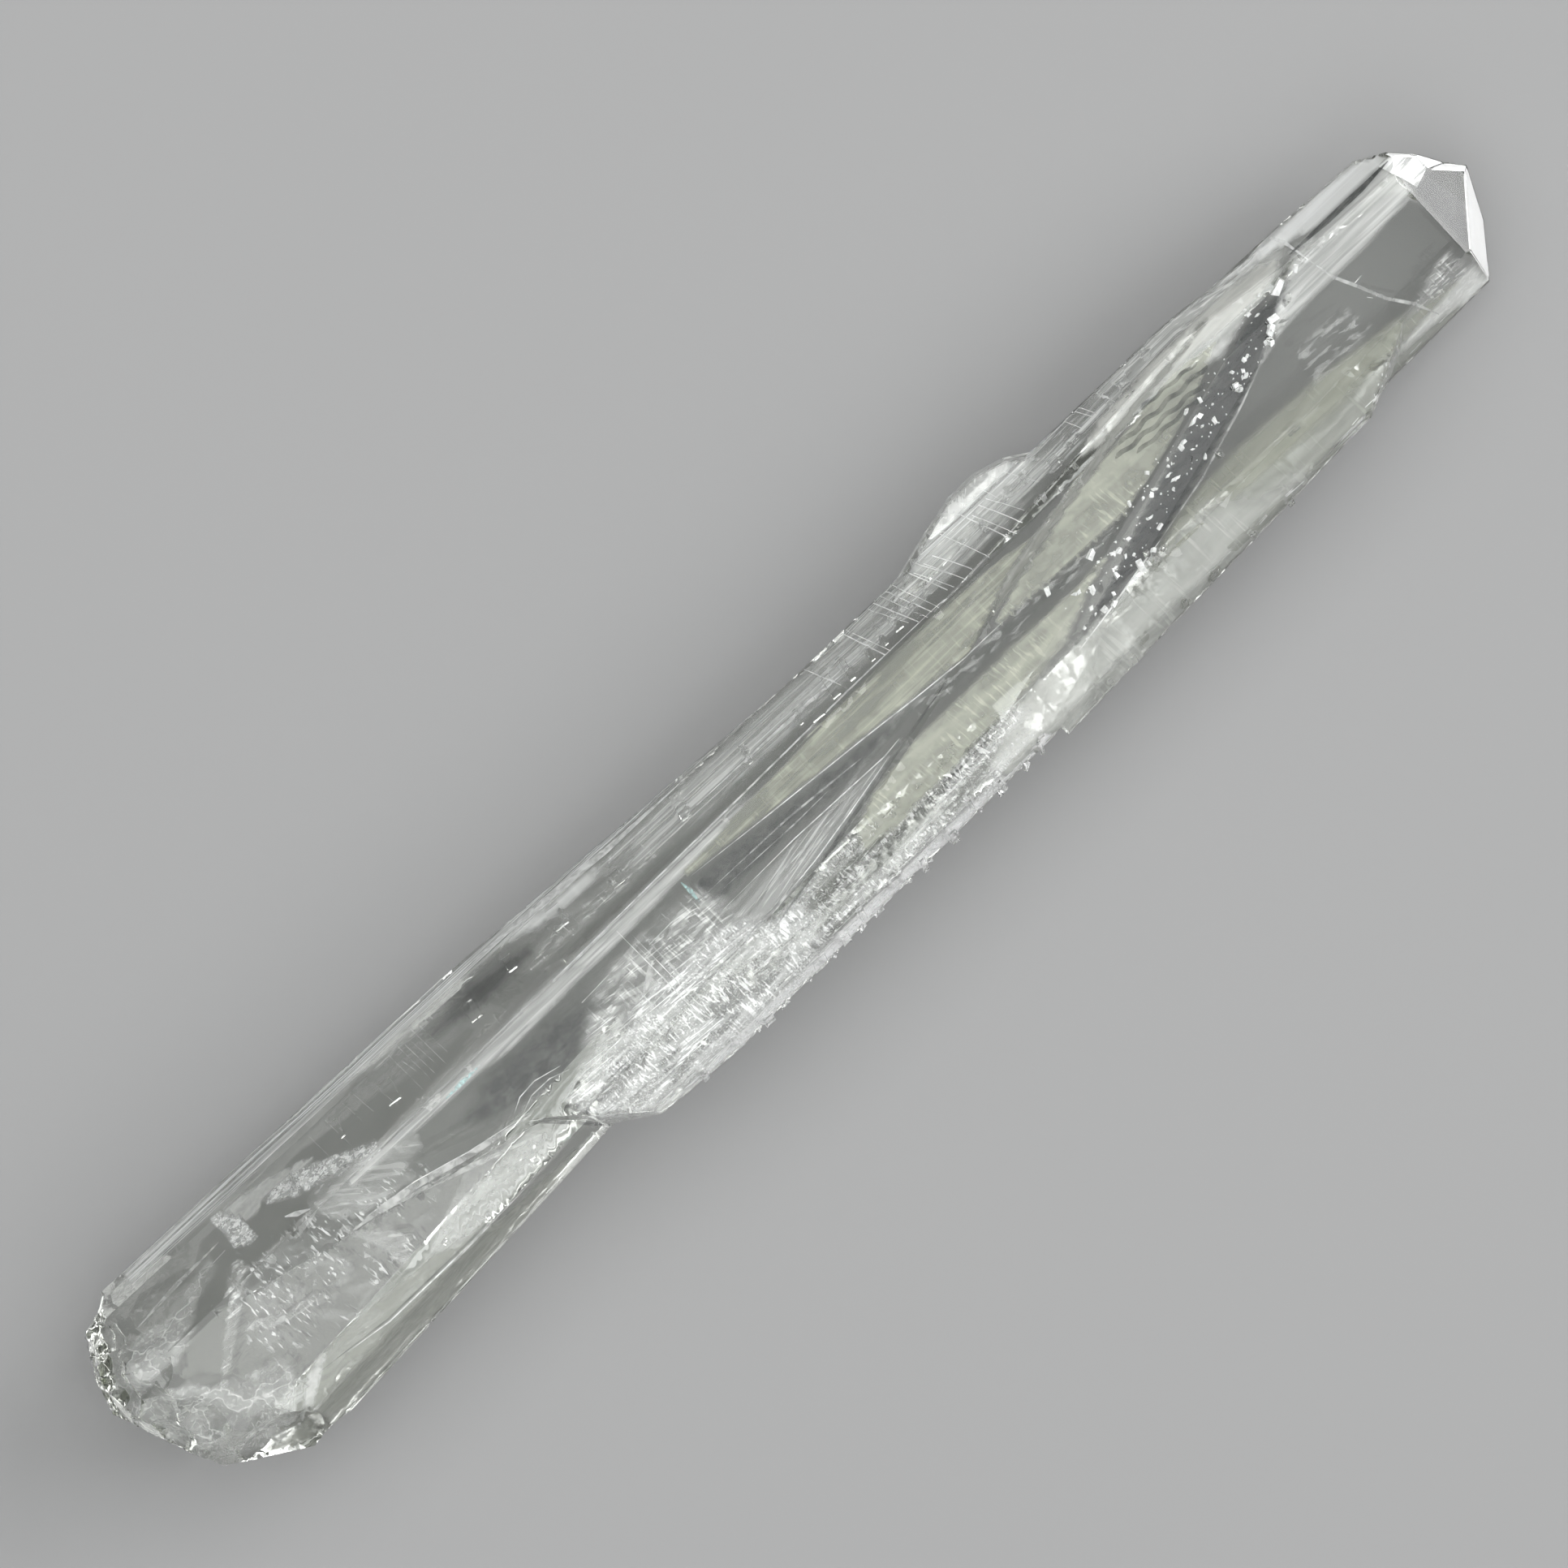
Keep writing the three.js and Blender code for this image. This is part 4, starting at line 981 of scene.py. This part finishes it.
# Fine grains strewn along it: how many, where, and their least size and its spread.
FINE_GRAINS = 170
CHANNEL_START = (32.8, -4.3)
CHANNEL_END = (69.8, 5.9)
CHANNEL_HALF_WIDTH = 2.1
FINE_SIZE = 0.08
FINE_SIZE_SPREAD = 0.34
GRAIN_SEED = 5
# Bounds of a grain's random choices: how far its corners move, its stretch along x, y and z, and
# its turns about them, in radians.
CORNER_SHIFT = (0.6, 1.25)
GRAIN_STRETCH = ((1, 2), (0.7, 1.2), (0.6, 1))
GRAIN_TURNS = ((0, 3), (0, 1), (-0.6, 1.4))
GRAIN_BED = 0.1
GRAIN_SINK = 0.3


def grain_mesh():
    """Small angular crystals, each a stretched, turned and skewed block."""
    rng = np.random.default_rng(GRAIN_SEED)
    spots = list(GRAINS)
    start, end = np.array(CHANNEL_START), np.array(CHANNEL_END)
    for share, across, size in rng.random((FINE_GRAINS, 3)):
        x, y = start + (end - start) * share
        aside = (2 * across - 1) * CHANNEL_HALF_WIDTH
        spots.append((x, y + aside, FINE_SIZE + FINE_SIZE_SPREAD * size**3))
    bm = bmesh.new()
    for x, y, size in spots:
        floor_height = height_under(x * MM, y * MM)
        made = bmesh.ops.create_cube(bm, size=size * MM)["verts"]
        for vert in made:
            vert.co *= rng.uniform(*CORNER_SHIFT)
        stretch = Matrix.Diagonal([*(rng.uniform(*bounds) for bounds in GRAIN_STRETCH), 1])
        about_x, about_y, about_z = (rng.uniform(*bounds) for bounds in GRAIN_TURNS)
        lean = Matrix.Rotation(about_x, 4, "X") @ Matrix.Rotation(about_y, 4, "Y")
        turn = Matrix.Rotation(about_z, 4, "Z")
        bmesh.ops.transform(bm, verts=made, matrix=turn @ stretch @ lean)
        height = floor_height - (GRAIN_BED + GRAIN_SINK * size) * MM
        bmesh.ops.translate(bm, verts=made, vec=(x * MM, y * MM, height))
    return mesh_with("channel_grains", bm, "cover", np.ones(len(bm.verts)))


shown("channel_grains", grain_mesh(), grain_stuff)

# -------- white faces of the point: a painted reflection

POINT_START = 80 * MM
CLEAR_POINT_FACE = Vector((0.618, 0, 0.786))
SAME_FACE_ANGLE = 0.1
LEAST_FORWARD = 0.4
LEAST_UPWARD = 0.1
FACET_DEPTH = 0.3 * MM
FACET_SHARE = 0.94


def facet_mesh():
    """The steep faces of the point, drawn in a little and painted white: a painted reflection of the bright
    light.
    """
    bm = flat_faced()
    steep = [
        face for face in bm.faces
        if face.calc_center_median().x > POINT_START and face.normal.x > LEAST_FORWARD
        and face.normal.z > LEAST_UPWARD and face.normal.angle(CLEAR_POINT_FACE) > SAME_FACE_ANGLE
    ]
    facets = bmesh.new()
    for face in steep:
        middle = face.calc_center_median()
        corners = [
            facets.verts.new(middle + (vert.co - middle) * FACET_SHARE - face.normal * FACET_DEPTH)
            for vert in face.verts
        ]
        facets.faces.new(corners)
    bm.free()
    bmesh.ops.triangulate(facets, faces=facets.faces[:])
    return mesh_with("point_facets", facets, "cover", np.ones(len(facets.verts)))


shown("point_facets", facet_mesh(), point_reflection_stuff)

# -------- floor, light and camera

FLOOR_DROP = 0.1 * MM
FLOOR_SIZE = 4
FLOOR_GREY = (0.2, 0.2, 0.2, 1)
FLOOR_ROUGHNESS = 0.9


def make_floor():
    """A plain floor just under the crystal."""
    bpy.ops.mesh.primitive_plane_add(size=FLOOR_SIZE, location=(0, 0, -FLOOR_DROP))
    floor = bpy.context.object
    floor.name = "floor"
    material, tree, shader = new_material("floor_grey")
    set_inputs(tree, shader, {"Base Color": FLOOR_GREY, "Roughness": FLOOR_ROUGHNESS})
    floor.data.materials.append(material)
    return floor


floor = make_floor()

# The sky is dim up to this height of view, from 0 level to 1 straight up, and then brightens.
DIM_UP_TO = 0.25
LOW_SKY = 0.28
HIGH_SKY = 1.2
SKY_COLOUR = (0.98, 1, 1, 1)


def make_sky():
    """A soft sky, brightest overhead."""
    world = bpy.data.worlds.new("studio")
    world.use_nodes = True
    tree = world.node_tree
    direction = add_node(tree, "TexCoord", {}, "Generated")
    rise = add_node(tree, "SeparateXYZ", {0: direction}, "Z")
    inputs = {"Value": rise, "From Min": DIM_UP_TO, "To Min": LOW_SKY, "To Max": HIGH_SKY}
    glow = add_node(tree, "MapRange", inputs, interpolation_type="SMOOTHSTEP")
    set_inputs(tree, tree.nodes["Background"], {"Strength": glow, "Color": SKY_COLOUR})
    return world


bpy.context.scene.world = make_sky()

BOX_DISTANCE = 2.5


def soft_box(name, azimuth, elevation, width, height, power):
    """A rectangular light that looks at the crystal. Azimuth 0 is +X, 90 is +Y."""
    light = bpy.data.lights.new(name, "AREA")
    light.shape = "RECTANGLE"
    light.size = width
    light.size_y = height
    light.energy = power
    holder = bpy.data.objects.new(name, light)
    turn, rise = math.radians(azimuth), math.radians(elevation)
    away = Vector((math.cos(turn) * math.cos(rise), math.sin(turn) * math.cos(rise), math.sin(rise)))
    holder.location = away * BOX_DISTANCE
    holder.rotation_mode = "QUATERNION"
    holder.rotation_quaternion = away.to_track_quat("Z", "Y")
    bpy.context.scene.collection.objects.link(holder)


soft_box("key_box", azimuth=90, elevation=66, width=4, height=1.9, power=54)
soft_box("right_box", azimuth=-90, elevation=58, width=4, height=1.9, power=22)
soft_box("point_box", azimuth=-12, elevation=20, width=3, height=2.5, power=135)

CAMERA_TILT = math.radians(6.5)
CAMERA_ROLL = math.radians(43)
LENS = 400
SENSOR = 36
FRAME_WIDTH = 161 * MM
TARGET = Vector((0.04 * MM, 3.41 * MM, 9 * MM))
CLIP_START = 0.01
CLIP_END = 20


def make_camera():
    """A far camera with a long lens, which looks down at the front face and is rolled."""
    data = bpy.data.cameras.new("camera")
    data.lens = LENS
    data.sensor_width = SENSOR
    data.clip_start = CLIP_START
    data.clip_end = CLIP_END
    camera = bpy.data.objects.new("camera", data)
    away = Vector((0, math.sin(CAMERA_TILT), math.cos(CAMERA_TILT)))
    up = Vector((0, math.cos(CAMERA_TILT), -math.sin(CAMERA_TILT)))
    right = Vector((1, 0, 0))
    image_right = right * math.cos(CAMERA_ROLL) - up * math.sin(CAMERA_ROLL)
    image_up = right * math.sin(CAMERA_ROLL) + up * math.cos(CAMERA_ROLL)
    turn = Matrix((image_right, image_up, away)).transposed().to_4x4()
    place = TARGET + away * FRAME_WIDTH * LENS / SENSOR
    camera.matrix_world = Matrix.Translation(place) @ turn
    bpy.context.scene.collection.objects.link(camera)
    return camera


camera = make_camera()
bpy.context.scene.camera = camera

bpy.context.scene.view_settings.view_transform = "Standard"
